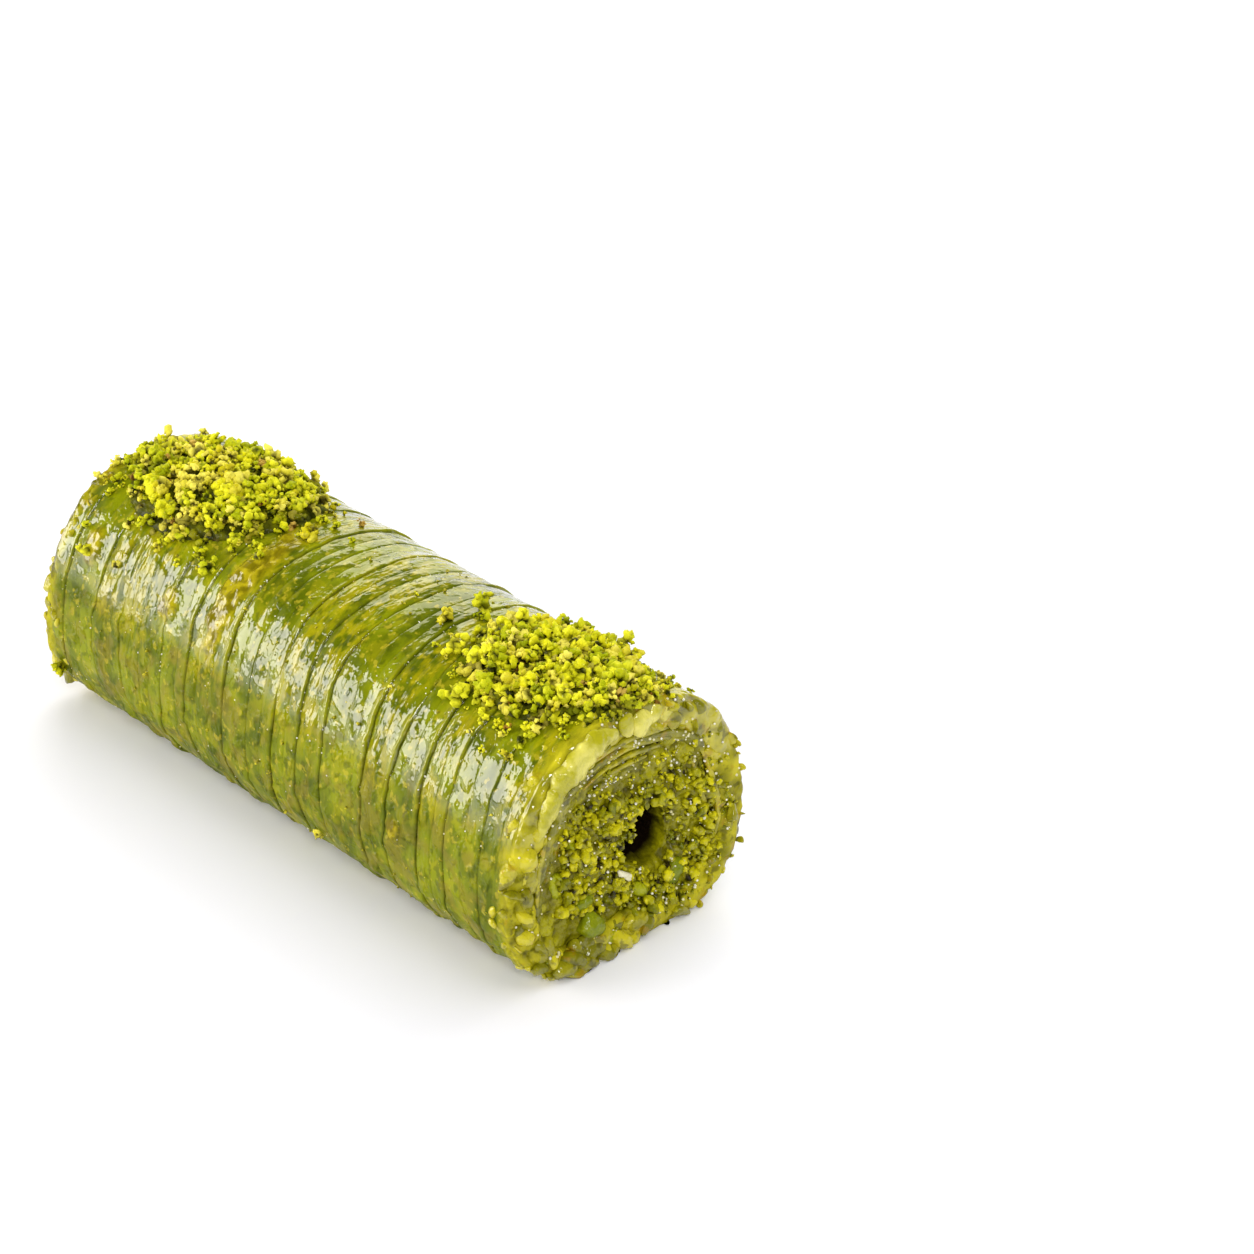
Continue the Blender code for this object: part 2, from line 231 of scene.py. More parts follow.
def crease_lines(angles):
    """Each crease's place along the roll, at each angle, and how deep it is there.

    The place is its own, plus a lean that is largest under the roll, plus smooth noise. Both
    fade at the ends. The depth share is its own, times noise that lets it come and go.
    """
    own = CREASES[:, :1] * MM - HALF_LENGTH
    along = own / (5 * MM)
    slow = noise_round(along, angles, 1.3, 3)
    quick = noise_round(9 * along, angles, 5, 4)
    held = smooth_step((SKIN_END - np.abs(own)) / (5 * MM))
    lean = CREASE_LEAN * (1 - np.sin(angles)) / 2
    places = own + held * (lean + CREASE_WANDER * slow) + CREASE_SHAKE * quick
    come_and_go = 0.75 + 0.75 * noise_round(7 * along, angles, 2.4, 5)
    depths = CREASES[:, 1:] * np.clip(come_and_go, 0.05, 1.15)
    ends = np.full((1, len(angles)), SKIN_END)
    none = np.zeros((1, len(angles)))
    return np.vstack((-ends, places, ends)), np.vstack((none, depths, none))


lines, line_depths = crease_lines(skin_angles)
print(f"{len(CREASES)} creases, the closest {np.diff(lines, axis=0).min() / MM:.2f} mm apart")

# %% Rows of the skin between the creases
AFTER_CREASE = np.array((0.0, 0.05, 0.12, 0.3)) * MM
BEFORE_CREASE = np.array((0.8, 0.58, 0.4, 0.26, 0.16, 0.08, 0.03)) * MM
CREASE_DEPTH = 0.3 * MM
LIP_HEIGHT = 0.2 * MM
LIP_PEAK = 0.16 * MM
LIP_FLANK = 0.36 * MM
LIP_DROP = 0.11 * MM
PILLOW = 0.05 * MM


def rows_between(lines, depths):
    """Rows that crowd at the creases: x, distances to both creases, and those creases' depths."""
    width = np.diff(lines, axis=0)[:, None]
    squeeze = np.minimum(1, width / (1.3 * MM))
    first = AFTER_CREASE[None, :, None] * squeeze
    last = width - BEFORE_CREASE[None, :, None] * squeeze
    after = np.concatenate((first, (first[:, -1:] + last[:, :1]) / 2, last), 1)
    x = lines[:-1, None] + after
    both = [np.broadcast_to(d[:, None], after.shape) for d in (depths[:-1], depths[1:])]
    shape = (-1, lines.shape[1])
    return [part.reshape(shape) for part in (x, after, width - after, *both)]


def lip_lift(angle):
    """How high lips stand round the roll: full on its upper sides, and a third elsewhere."""
    side = smooth_step((np.abs(np.cos(angle)) - 0.35) / 0.3)
    upper = smooth_step((np.sin(angle) + 0.1) / 0.5)
    return 0.33 + 0.67 * side * upper


def pleat_relief(after, before, depth_behind, depth_ahead):
    """Height of the pleats: a pillow between creases, a narrow valley at each, and a lip before it.

    A lip is a bell that rises slowly towards its crease and drops there, like a wave about to break.
    """
    pillow = PILLOW * np.sin(math.pi * after / (after + before))
    valley = depth_behind * np.exp(-((after / (0.07 * MM)) ** 1.3))
    valley = valley + depth_ahead * np.exp(-((before / (0.035 * MM)) ** 1.5))
    flank = np.where(before > LIP_PEAK, LIP_FLANK, LIP_DROP)
    bell = np.exp(-(((before - LIP_PEAK) / flank) ** 2))
    lip = np.clip(depth_ahead * 1.3 - 0.2, 0, 1) * bell * lip_lift(skin_angles)
    return pillow + LIP_HEIGHT * lip - CREASE_DEPTH * valley, lip, valley


skin_x, after, before, behind, ahead = rows_between(lines, line_depths)
relief, lip_mark, crease_mark = pleat_relief(after, before, behind, ahead)
print(f"{len(skin_x)} rows, relief from {relief.min() / MM:.2f} to {relief.max() / MM:.2f} mm")

# %% [markdown]
# The filling presses through the thin dough as soft lumps. Between some creases the dough is
# crumpled, which breaks up the long window of light on its side. In one place nuts have come
# through and lie under the syrup as amber lumps.

# %% Lumps and crumpled zones of the skin
WRINKLED = ((8.6, 1.0), (12.9, 2.2), (24.0, 1.9), (34.1, 1.5), (37.9, 1.0), (46.8, 1.3), (54.3, 1.1),
            (63.4, 1.2))
AMBER = ((23.6, 1.5, 128, 30), (16.9, 1.0, 151, 6), (5.0, 1.0, 146, 7), (50.0, 0.8, 183, 4))


def wrinkled_share(places):
    """1 in the crumpled zones along the roll, and 0 outside, with edges that wander by smooth noise."""
    x = (places[..., 0] + HALF_LENGTH) / MM + 0.6 * smooth_noise(places, 2.5 * MM, 15)
    zones = [smooth_step(1.6 - np.abs(x - middle) / half) for middle, half in WRINKLED]
    return np.clip(sum(zones), 0, 1)


def amber_share(x, angle, places):
    """1 on the amber patches, each an oval of half sizes in mm along the roll and degrees round it."""
    share = 0.0
    for middle, half, turn, half_turn in AMBER:
        along = ((x + HALF_LENGTH) / MM - middle) / half
        off = np.hypot(along, (np.degrees(angle) - turn) / half_turn)
        ragged = off - 0.3 * smooth_noise(places, 1.1 * MM, 16)
        share = np.maximum(share, smooth_step((1.25 - ragged) / 0.4))
    return share


def soft_lumps(places, amber):
    """Dents from smooth noise of two sizes, nuts that press through low down, and the amber lumps."""
    large = smooth_noise(places, (3.4 * MM, 4.5 * MM, 4.5 * MM), 11)
    small = smooth_noise(places, (1.3 * MM, 1.8 * MM, 1.8 * MM), 12)
    nuts, tone = lumps(places, 1.6 * MM, 14)
    pressed = smooth_step((nuts - 0.55) / 0.4) * smooth_step((tone - 0.5) / 0.2)
    low = 1 - 0.6 * smooth_step((places[..., 2] - 15 * MM) / (3 * MM))
    coarse = lumps(places, 1.2 * MM, 17)[0]
    return (0.07 * large + low * (0.08 * small + 0.22 * pressed) + amber * (0.6 * coarse - 0.15)) * MM


flat_skin = on_roll(skin_x, skin_angles, 0.0)
wrinkle_mark = wrinkled_share(flat_skin)
amber_mark = amber_share(skin_x, skin_angles, flat_skin)
skin_rise = relief * (1 - 0.6 * amber_mark) + soft_lumps(flat_skin, amber_mark)
skin_outer = on_roll(skin_x, skin_angles, -skin_rise)
print(f"{(wrinkle_mark > 0.5).mean():.0%} of the skin is crumpled")

# %% [markdown]
# ## The cut rims
# At each end the dough is thick and puckered. The rim is a half-round profile from the outside of
# the wall to its inside, pushed out by lumps along its own normal. It is the ground on which
# separate folds of dough are laid later.

# %% Rim profile
RIM_STEPS = 22
RIM_BULGE = 0.5 * MM
RIM_OVERLAP = 0.05 * MM
RIM_SWELL = 0.45 * MM


def rim_relief(places, angle):
    """Height of a rim along its normal, from lumps of two sizes and its layers. Also painted shade and tone.
    """
    large = lumps(places, (2.6 * MM, 2.1 * MM, 2.1 * MM), 21)[0]
    small = lumps(places, 0.9 * MM, 22)[0]
    layers = 1 - np.abs(noise_round(contour_depth(places) / (0.7 * MM), angle, 2.4, 23))
    height = 0.55 * (large - 0.62) + 0.4 * (small - 0.55) + 0.3 * (layers - 0.6)
    tone = 0.5 + 0.5 * smooth_noise(places, 1.5 * MM, 25)
    # The middle array is painted shade: the lower a place on the rim, the darker it is coloured.
    return height * MM, smooth_step((0.1 - height) / 0.4), tone


def rim_rows(facing):
    """A rim from its outer edge to its inner one: half an ellipse across the wall, bulging outwards.

    The wall is up to 0.9 mm thicker in places, by smooth noise round the rim.
    """
    turn = np.linspace(0, math.pi, RIM_STEPS)[:, None]
    wall = WALL + RIM_OVERLAP + RIM_SWELL * (1 + noise_round(facing, skin_angles, 3.2, 26))
    depth = wall / 2 * (1 - np.cos(turn)) - RIM_OVERLAP
    x = HALF_LENGTH - RIM_BULGE + RIM_BULGE * np.sin(turn) ** 0.7
    flat = on_roll(facing * x, skin_angles, depth)
    height, pit, tone = rim_relief(flat, skin_angles)
    free = 0.35 + 0.65 * np.sin(turn)
    places = on_roll(facing * (x + height * np.sin(turn)), skin_angles,
                     depth - free * height * np.cos(turn))
    return places, pit, tone


near_rim = rim_rows(1)
far_rim = [part[::-1] for part in rim_rows(-1)]
print(f"shown rim reaches x = {near_rim[0][..., 0].max() / MM:.2f} mm")

# %% [markdown]
# Numbers are kept on every point of the skin for its colours later: how much it belongs to a lip,
# a crease, a rim, a crumpled zone and an amber patch, the tone of the rim's lumps, and the painted
# shade in their hollows and on the inside of the wall.

# %% The skin as one closed piece
inner_x = np.array((0.92, 0.8, 0.0, -0.8, -0.92))[:, None] * HALF_LENGTH
inner_wall = on_roll(inner_x, skin_angles, WALL + 0.08 * MM)
skin = np.concatenate((far_rim[0], skin_outer, near_rim[0], inner_wall))


def skin_mark(on_skin=0.0, on_far=0.0, on_near=0.0, inside=0.0):
    """A mark for all rows of the skin piece, from a number or an array for each of its parts."""
    parts = ((RIM_STEPS, on_far), (len(skin_x), on_skin), (RIM_STEPS, on_near), (len(inner_x), inside))
    return np.concatenate([np.broadcast_to(values, (rows, SKIN_AROUND)) for rows, values in parts])


rim_nearness = 0.8 * smooth_step((np.abs(skin_x) - HALF_LENGTH + 1.7 * MM) / (0.9 * MM))
# The hollows of the rims and the inside of the wall carry painted shade.
soaked_skin = add_piece(
    "soaked_skin", skin, ring_faces(len(skin), SKIN_AROUND), "soaked_pastry",
    lip=skin_mark(lip_mark), crease=skin_mark(crease_mark), wrinkle=skin_mark(wrinkle_mark),
    amber=skin_mark(amber_mark), rim=skin_mark(rim_nearness, 1.0, 1.0, 1.0),
    pit=skin_mark(0.0, far_rim[1], near_rim[1], 0.6), tone=skin_mark(0.5, far_rim[2], near_rim[2]))
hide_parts("pastry_wrap")

# %% [markdown]
# ## The sheet wound up inside
# Inside the wall the same dough runs on as a spiral with nuts between its turns. Its cut edge
# stands a little proud of the nuts over the top and on the left, and sinks under them at the
# bottom. It is a ribbon that follows a list of depths, one for each part of a turn.

# %% Path of the wound sheet
SHEET = 1.4 * MM
SHEET_START = math.radians(35)
SHEET_TURNS = np.radians((0, 40, 140, 235, 325, 415, 480))
SHEET_DEPTHS = np.array((2.3, 2.95, 3.55, 3.5, 4.5, 5.6, 6.2)) * MM
THICK_TURNS = np.radians((0, 85, 125, 175, 225, 320, 360))
SHEET_THICK = np.array((1.0, 1.3, 2.2, 2.2, 1.1, 1.0, 0.8)) * MM
SHEET_WAVE = 0.22 * MM
END_RECESS = 1.0 * MM


def sheet_rows(steps_along=300, steps_round=9):
    """The ribbon's ring of places at each step along its winding: out, round an end, and back.

    It waves in and out by smooth noise, and it is thick on the left, where folds lie together.
    """
    turn = np.linspace(math.radians(-6), SHEET_TURNS[-1] + math.radians(5), steps_along)[:, None]
    thick = np.interp(turn, THICK_TURNS, SHEET_THICK)
    wave = SHEET_WAVE * smooth_noise(turn * (4, 0, 0), 1.0, 33)[:, None]
    depth = np.interp(turn, SHEET_TURNS, SHEET_DEPTHS) + SHEET / 2 + wave
    thin = np.sqrt(np.clip((turn[-1] - turn) / math.radians(7), 0, 1))
    arc = np.linspace(0, math.pi, steps_round)
    across = np.concatenate((-np.cos(arc), np.cos(arc)))
    bulge = np.concatenate((np.sin(arc), np.sin(arc))) ** 0.7
    facing = np.repeat((1, -1), steps_round)
    angle = SHEET_START + turn
    places = on_roll(facing * HALF_LENGTH, angle, depth + across * thin * thick / 2)
    low = smooth_step((-np.sin(angle) - 0.1) / 0.5)
    sunk = low * 0.9 * MM + smooth_step(turn - 4.7) * 0.35 * MM
    inwards = smooth_step((contour_depth(places) - 0.8 * WALL) / (1.2 * WALL))
    large = lumps(places, 1.8 * MM, 31)[0]
    small = lumps(places, 0.8 * MM, 32)[0]
    height = 0.6 * (large - 0.6) + 0.35 * (small - 0.5)
    out = (height + 0.1) * MM - END_RECESS * inwards - sunk + 0.4 * MM * bulge * thin
    places[..., 0] += facing * out
    # The middle array is painted shade on the sheet's low places.
    return places, smooth_step((0.1 - height) / 0.5), 0.12 + 0.3 * smooth_noise(places, 1.2 * MM, 34)


sheet, sheet_pit, sheet_tone = sheet_rows()
wound_sheet = add_piece(
    "wound_sheet", sheet, ring_faces(sheet.shape[0], sheet.shape[1], closed_rows=False),
    "soaked_pastry", rim=np.ones(sheet.shape[:2]), pit=sheet_pit, tone=sheet_tone)


def close_ends(piece):
    """Fills the two open rings of a ribbon with one face each, so that it has no loose edge."""
    mesh = bmesh.new()
    mesh.from_mesh(piece.data)
    bmesh.ops.remove_doubles(mesh, verts=mesh.verts, dist=1e-6)
    bmesh.ops.holes_fill(mesh, edges=mesh.edges, sides=0)
    bmesh.ops.recalc_face_normals(mesh, faces=mesh.faces)
    mesh.to_mesh(piece.data)
    mesh.free()
    piece.data.shade_smooth()


close_ends(wound_sheet)

# %% [markdown]
# ## The filling and its hole
# The rod leaves a crooked hole, wide at the mouth and narrower inside, with scrapes along it.
# Round it the nuts are packed in lumps of three sizes. The gaps between them and the inside of the
# hole are coloured dark as painted shade. The piece is one skin again: over the far end, through
# the hole, over the shown end, and back under the pastry.

# %% The hole
HOLE_MIDDLE = np.array((2.8, -1.5)) * MM
HOLE_RADIUS = 2.85 * MM
HOLE_OVAL = 0.16
HOLE_NOTCH = 1.5 * MM
HOLE_SHIFT = 0.7 * MM
FACE_BACK = 0.8 * MM
MOUTH_BACK = 0.4 * MM
MOUTH_X = HALF_LENGTH - FACE_BACK - MOUTH_BACK - 0.3 * MM


def hole_edge(angle, x):
    """Outline of the hole, as (y, z): an oval with a notch, narrower and off line inside the roll."""
    inside = smooth_step((MOUTH_X - np.abs(x)) / (8 * MM))
    oval = 1 + HOLE_OVAL * np.cos(2 * (angle - math.radians(100)))
    off_notch = np.angle(np.exp(1j * (angle - math.radians(205)))) / math.radians(20)
    notch = HOLE_NOTCH * np.exp(-(off_notch ** 2)) * (1 - inside)
    radius = HOLE_RADIUS * oval * (1 - 0.38 * inside) + notch
    shift = HOLE_SHIFT * inside
    y = HOLE_MIDDLE[0] + shift + radius * np.cos(angle)
    z = AXIS_HEIGHT + HOLE_MIDDLE[1] - 0.4 * shift + radius * np.sin(angle)
    return y, z


# %% Rough ends of the filling
FILLING_AROUND = 300
FACE_ROWS = 50
BORE_ROWS = 40
filling_angles = np.arange(FILLING_AROUND) * 2 * math.pi / FILLING_AROUND


def nut_relief(places, seed):
    """Packed nuts: lumps of three sizes, each about half as high as wide. Also their tone."""
    large, tone = lumps(places, 2.0 * MM, seed)
    middle, fine_tone = lumps(places, 0.95 * MM, seed + 10)
    small, _ = lumps(places, 0.5 * MM, seed + 20)
    height = 0.9 * (large - 0.6) + 0.5 * (middle - 0.6) + 0.2 * (small - 0.6)
    return height * MM, 0.5 * tone + 0.5 * fine_tone


def mouth_depth(from_hole):
    """How far the nuts sink towards the hole: most at its edge, and nothing 2 mm away."""
    return MOUTH_BACK * (1 - smooth_step(from_hole / (2 * MM)))


def face_rows(facing):
    """One rough end, from the hole's edge out to the wall, with its tone and painted shade in hollows."""
    share = np.linspace(0, 1, FACE_ROWS)[:, None] ** 1.1
    mouth_y, mouth_z = hole_edge(filling_angles, MOUTH_X)
    wall = on_roll(0.0, filling_angles, WALL - 0.1 * MM)
    y = mouth_y + share * (wall[:, 1] - mouth_y)
    z = mouth_z + share * (wall[:, 2] - mouth_z)
    flat = np.stack((np.full_like(y, facing * HALF_LENGTH), y, z), -1)
    height, tone = nut_relief(flat, 41)
    from_hole = np.hypot(y - mouth_y, z - mouth_z)
    flat[..., 0] = facing * (HALF_LENGTH - FACE_BACK - mouth_depth(from_hole) + height)
    # The middle array is painted shade: low places are coloured darker.
    return flat, smooth_step(0.42 - height / (1.2 * MM)), tone


def bore_rows():
    """The hole's wall from the far end to the shown one, in rows that crowd at the ends.

    It has the lumps of the ends, and scrapes along the roll from noise that only knows the angle.
    From 1.5 mm inwards it is coloured dark all over, as painted shadow inside the hole.
    """
    x = -MOUTH_X * np.cos(np.linspace(0, math.pi, BORE_ROWS)[1:-1, None])
    y, z = hole_edge(filling_angles, x)
    flat = np.stack(np.broadcast_arrays(x, y, z), -1)
    height, tone = nut_relief(flat, 41)
    scrapes = 0.3 * MM * noise_round(0, filling_angles, 6, 43)
    inwards = smooth_step((MOUTH_X - np.abs(x)) / (1.2 * MM)) * (0.35 * height + scrapes)
    flat[..., 1] -= inwards * np.cos(filling_angles)
    flat[..., 2] -= inwards * np.sin(filling_angles)
    # Painted shadow: the hole goes dark from 1.5 mm inside its mouth.
    dark = smooth_step((MOUTH_X - np.abs(x)) / (1.5 * MM))
    return flat, np.maximum(smooth_step(0.42 - height / (1.2 * MM)), dark), tone


parts = [face_rows(-1), bore_rows(), face_rows(1)]
parts[0] = tuple(part[::-1] for part in parts[0])
filling, pits, tones = (np.concatenate(group) for group in zip(*parts))
nut_filling = add_piece(
    "nut_filling", filling, ring_faces(len(filling), FILLING_AROUND), "ground_pistachio",
    pit=pits, tone=tones)
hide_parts("pistachio_filling")

# %% [markdown]
# ## Crumbs
# A crumb of ground pistachio is a core with knobs on it, like popcorn. One knob is a cube of 24
# small faces blown up to a ball, then stretched, turned and roughened at random. Thousands of them
# share one function, and each kind of crumb becomes a single joined mesh.

# %% One ball
def ball(n):
    """A cube of n by n squares a side, blown up to a ball: its points and its four-sided faces."""
    grid = [p for p in itertools.product(range(n + 1), repeat=3) if min(p) == 0 or max(p) == n]
    number = {p: i for i, p in enumerate(grid)}
    faces = []
    for axis, side, a, b in itertools.product(range(3), (0, n), range(n), range(n)):
        corners = []
        for da, db in ((0, 0), (1, 0), (1, 1), (0, 1)):
            corner = [a + da, b + db]
            corner.insert(axis, side)
            corners.append(number[tuple(corner)])
        turned = (side > 0) != (axis == 1)
        faces.append(corners if turned else corners[::-1])
    points = np.tan((np.array(grid) * 2 / n - 1) * math.pi / 4)
    return points / np.linalg.norm(points, axis=1)[:, None], np.array(faces)


BIT = ball(2)
LUMP = ball(5)
FLOOR_GAP = 0.02 * MM
print("one knob has", 2 * len(BIT[1]), "triangles, one large lump", 2 * len(LUMP[1]))

# %% Many balls at once
def turned_at_random(count, draw):
    """A random turn for each ball, as a 3 by 3 matrix made from four numbers of length 1."""
    w, x, y, z = draw.normal(size=(count, 4)).T
    size = np.sqrt(w * w + x * x + y * y + z * z)
    w, x, y, z = w / size, x / size, y / size, z / size
    rows = ((1 - 2 * (y * y + z * z), 2 * (x * y - z * w), 2 * (x * z + y * w)),
            (2 * (x * y + z * w), 1 - 2 * (x * x + z * z), 2 * (y * z - x * w)),
            (2 * (x * z - y * w), 2 * (y * z + x * w), 1 - 2 * (x * x + y * y)))
    return np.array(rows).transpose(2, 0, 1)


def balls(kind, middles, sizes, turns, draw, rough):
    """Places and faces of many balls: corners shaken in and out, each ball stretched and turned."""
    points, faces = kind
    count = len(middles)
    shake = 1 + rough * draw.uniform(-1, 1, (count, len(points), 1))
    shapes = np.einsum("nij,nvj->nvi", turns, points * shake * sizes[:, None])
    faces = faces[None] + (np.arange(count) * len(points))[:, None, None]
    return (middles[:, None] + shapes).reshape(-1, 3), faces.reshape(-1, 4)


def knobbly(middles, radii, draw, knobs):
    """Splits each crumb into a core and knobs around it, in directions spread at random.

    A knob is about a third as wide as the crumb, and its middle lies three quarters of the way out.
    Each crumb is half as long again along an axis of its own, and a fifth thinner across it.
    """
    owner = np.repeat(np.arange(len(middles)), knobs + 1)
    away = draw.normal(size=(len(owner), 3))
    away *= radii[owner, None] / np.linalg.norm(away, axis=1)[:, None]
    axis = draw.normal(size=(len(middles), 3))
    axis = (axis / np.linalg.norm(axis, axis=1)[:, None])[owner]
    away = 0.8 * away + 0.7 * axis * (away * axis).sum(1)[:, None]
    reach = np.tile([0.0] + [0.75] * knobs, len(middles))[:, None]
    away *= reach * draw.uniform(0.8, 1.25, (len(owner), 1))
    share = np.tile([0.55] + [0.36] * knobs, len(middles)) * draw.uniform(0.6, 1.3, len(owner))
    return middles[owner] + away, radii[owner] * share, owner


def add_crumbs(name, middles, radii, draw, shade=0.0, knobs=8):
    """One piece of many crumbs. Points know their crumb's tone and a painted shade in its notches.

    The shade, from 0 to 1, is painted shade added for a crumb that lies low between others.
    """
    spots, sizes, owner = knobbly(middles, radii, draw, knobs)
    stretched = sizes[:, None] * draw.uniform(0.8, 1.3, (len(owner), 3))
    places, faces = balls(BIT, spots, stretched, turned_at_random(len(owner), draw), draw, 0.5)
    places[:, 2] = np.maximum(places[:, 2], FLOOR_GAP)
    points = np.repeat(owner, len(BIT[0]))
    out = np.linalg.norm(places - middles[points], axis=1) / radii[points]
    knob_tone = np.repeat(draw.uniform(0, 0.35, len(owner)), len(BIT[0]))
    tone = draw.uniform(0, 0.65, len(middles))[points] + knob_tone
    low = np.broadcast_to(shade, len(middles))[points]
    # Painted shade: notches between knobs and crumbs low in a heap are coloured darker.
    pit = np.clip(smooth_step((0.88 - out) / 0.45) + low, 0, 1)
    return add_piece(name, places, faces, "ground_pistachio", tone=tone, pit=pit)


# %% [markdown]
# ## The two heaps on top
# The heaps lie on the crown near the ends. Under the loose crumbs is a bed: a shallow mound with
# lumps of a crumb's size, so no skin shows between them, coloured dark as painted shade between
# the crumbs. The crumbs are spread by the sunflower rule, where each next one turns by the golden
# angle, which keeps them even without rows.

# %% Beds of the heaps
HEAPS = ((-20.7 * MM, math.radians(92), 10.2 * MM, 7.6 * MM),
         (24.5 * MM, math.radians(88.5), 8.6 * MM, 7.2 * MM))
HEAP_HEIGHT = 1.0 * MM
GOLDEN_ANGLE = math.radians(137.508)


def on_heap(heap, share, turn, height):
    """A place at a share of the heap's radius, in a direction, at a height over the skin.

    The heap's edge runs in and out by smooth noise round it.
    """
    x, angle, long, wide = heap
    share = share * (1 + 0.16 * noise_round(x / MM, turn, 1.6, 51))
    along = np.clip(x + share * long * np.cos(turn), -HALF_LENGTH + 0.5 * MM, HALF_LENGTH - 0.2 * MM)
    return on_roll(along, angle + share * wide * np.sin(turn) / ROLL_RADIUS, -height)


def bed_height(share):
    """Height of the mound: the root of 1 less the squared share, like a flat dome."""
    return HEAP_HEIGHT * np.sqrt(np.clip(1 - share ** 2, 0, 1))


def bed_rows(heap, rings=26, around=110):
    """The mound from its middle out and back under the skin, with lumps on its upper side."""
    share = np.concatenate((np.linspace(0.02, 1.0, rings), (0.98, 0.5, 0.02)))[:, None]
    turn = np.arange(around) * 2 * math.pi / around
    height = bed_height(share)
    height[rings:] = -0.6 * MM
    places = on_heap(heap, share, turn, height)
    rough, tone = lumps(places, 0.75 * MM, 55)
    upper = (np.arange(len(share)) < rings)[:, None]
    places = on_heap(heap, share, turn, height + upper * (0.5 * rough - 0.35) * MM)
    # The middle array is painted shade in the bed's low places.
    return places, smooth_step(1.3 - rough), tone


for side, heap in zip(("far", "near"), HEAPS):
    places, pit, tone = bed_rows(heap)
    add_piece(f"heap_bed_{side}", places, ring_faces(*places.shape[:2]), "ground_pistachio",
              pit=pit, tone=tone)

# %% Crumbs of the heaps
CRUMB_LAYERS = ((230, 1.04, 0.0), (125, 0.86, 0.55))
STRAYS_EACH = 55
CRUMB_KINDS = (("crumbs_green", 0, 0.36, 1), ("crumbs_olive", 0.36, 0.6, 1), ("crumbs_gold", 0.6, 0.95, 1),
               ("crumbs_tan", 0.95, 1, 0.6))
STRAYS = ((44.3, 80, 1.0), (43.9, 97, 0.8), (45.6, 86, 0.6), (47.7, 107, 0.9), (52.0, 124, 1.0),
          (60.5, 127, 0.7), (19.5, 130, 0.8), (24.5, 92, 0.9), (23.2, 116, 0.7), (4.6, 148, 0.8),
          (39.0, 209, 0.5), (1.2, 206, 0.8), (17.8, 127, 0.8))


def heap_crumbs(heap, draw):
    """Middles, radii and painted shade of a heap's crumbs: a full layer on the bed, a looser one over it."""
    found = []
    for count, reach, lift in CRUMB_LAYERS:
        i = np.arange(count)
        share = reach * np.sqrt((i + 0.5) / count) + draw.normal(0, 0.02, count)
        turn = i * GOLDEN_ANGLE + draw.normal(0, 0.06, count) + lift
        radius = (0.5 + 0.5 * draw.uniform(0, 1, count) ** 1.5) * MM
        height = lift * MM + draw.uniform(-0.4, 0.4, count) * MM
        # Painted shade: crumbs that lie low in the heap are coloured darker.
        shade = 0.7 * smooth_step((0.3 * MM - height) / (0.6 * MM))
        spots = on_heap(heap, np.abs(share), turn, bed_height(share) + height)
        found.append((spots, radius, shade))
    return [np.concatenate(group) for group in zip(*found)]


def stray_crumbs(heap, count, draw):
    """Crumbs that lie on the skin beside a heap, fewer further out."""
    share = 1.04 + draw.exponential(0.16, count)
    radius = draw.uniform(0.2, 0.6, count) * MM
    turn = draw.uniform(0, 2 * math.pi, count)
    return on_heap(heap, share, turn, 0.6 * radius), radius, 0 * radius


def listed_crumbs(table):
    """The larger strays, from a table of place along the roll, angle and radius."""
    x, angle, radius = np.array(table).T * ((MM,), (1,), (MM,))
    return on_roll(x - HALF_LENGTH, np.radians(angle), -0.6 * radius), radius, 0 * radius


draw = np.random.default_rng(7)
groups = [heap_crumbs(heap, draw) for heap in HEAPS]
groups += [stray_crumbs(heap, STRAYS_EACH, draw) for heap in HEAPS]
groups.append(listed_crumbs(STRAYS))
crumb_middles, crumb_radii, crumb_painted_shade = (np.concatenate(group) for group in zip(*groups))
kind = draw.uniform(0, 1, len(crumb_middles))
for name, low, high, size in CRUMB_KINDS:
    chosen = (kind >= low) & (kind < high)
    add_crumbs(name, crumb_middles[chosen], crumb_radii[chosen] * size, draw, crumb_painted_shade[chosen])

# %% [markdown]
# ## Crumbs in the filling and specks on the skin
# Loose crumbs stand on the rough ends, so that their outlines break up the face. Tiny specks stick
# to the syrup all over the skin.

# %% Crumbs at the ends
END_SIZES = ((140, 0.65, 1.15), (190, 0.35, 0.65))
RIM_CRUMBS = 75
OVERHANGS = ((72, -0.3, 0.6), (92, -0.2, 0.6), (110, 0.1, 0.7), (128, 0.5, 0.75), (146, -0.2, 0.6),
             (166, 0.7, 0.7), (182, -0.1, 0.7), (330, -0.3, 0.5), (20, -0.4, 0.6))


def bare_depth(places):
    """How deep crumbs start: inside the wound sheet over the top and the left, else at the wall."""
    angle = np.arctan2(places[:, 2] - AXIS_HEIGHT, places[:, 1])
    turn = np.mod(angle - SHEET_START, 2 * math.pi)
    thick = np.interp(turn, THICK_TURNS, SHEET_THICK)
    inner = np.interp(turn, SHEET_TURNS, SHEET_DEPTHS) + SHEET / 2 + thick / 2
    shown = smooth_step((turn - 0.3) / 0.3) * smooth_step((4.3 - turn) / 0.4)
    return WALL - 0.5 * MM + shown * (inner - WALL + 0.5 * MM)


def on_end(facing, radius, angle, out):
    """A place on a rough end, given by its distance and direction from the slice's middle."""
    y, z = radius * np.cos(angle), AXIS_HEIGHT + radius * np.sin(angle)
    flat = np.stack(np.broadcast_arrays(facing * HALF_LENGTH, y, z), -1)
    height, _ = nut_relief(flat, 41)
    from_hole = np.hypot(y - HOLE_MIDDLE[0], z - AXIS_HEIGHT - HOLE_MIDDLE[1]) - HOLE_RADIUS
    flat[..., 0] = facing * (HALF_LENGTH - FACE_BACK - mouth_depth(from_hole) + height + out)
    return flat, from_hole


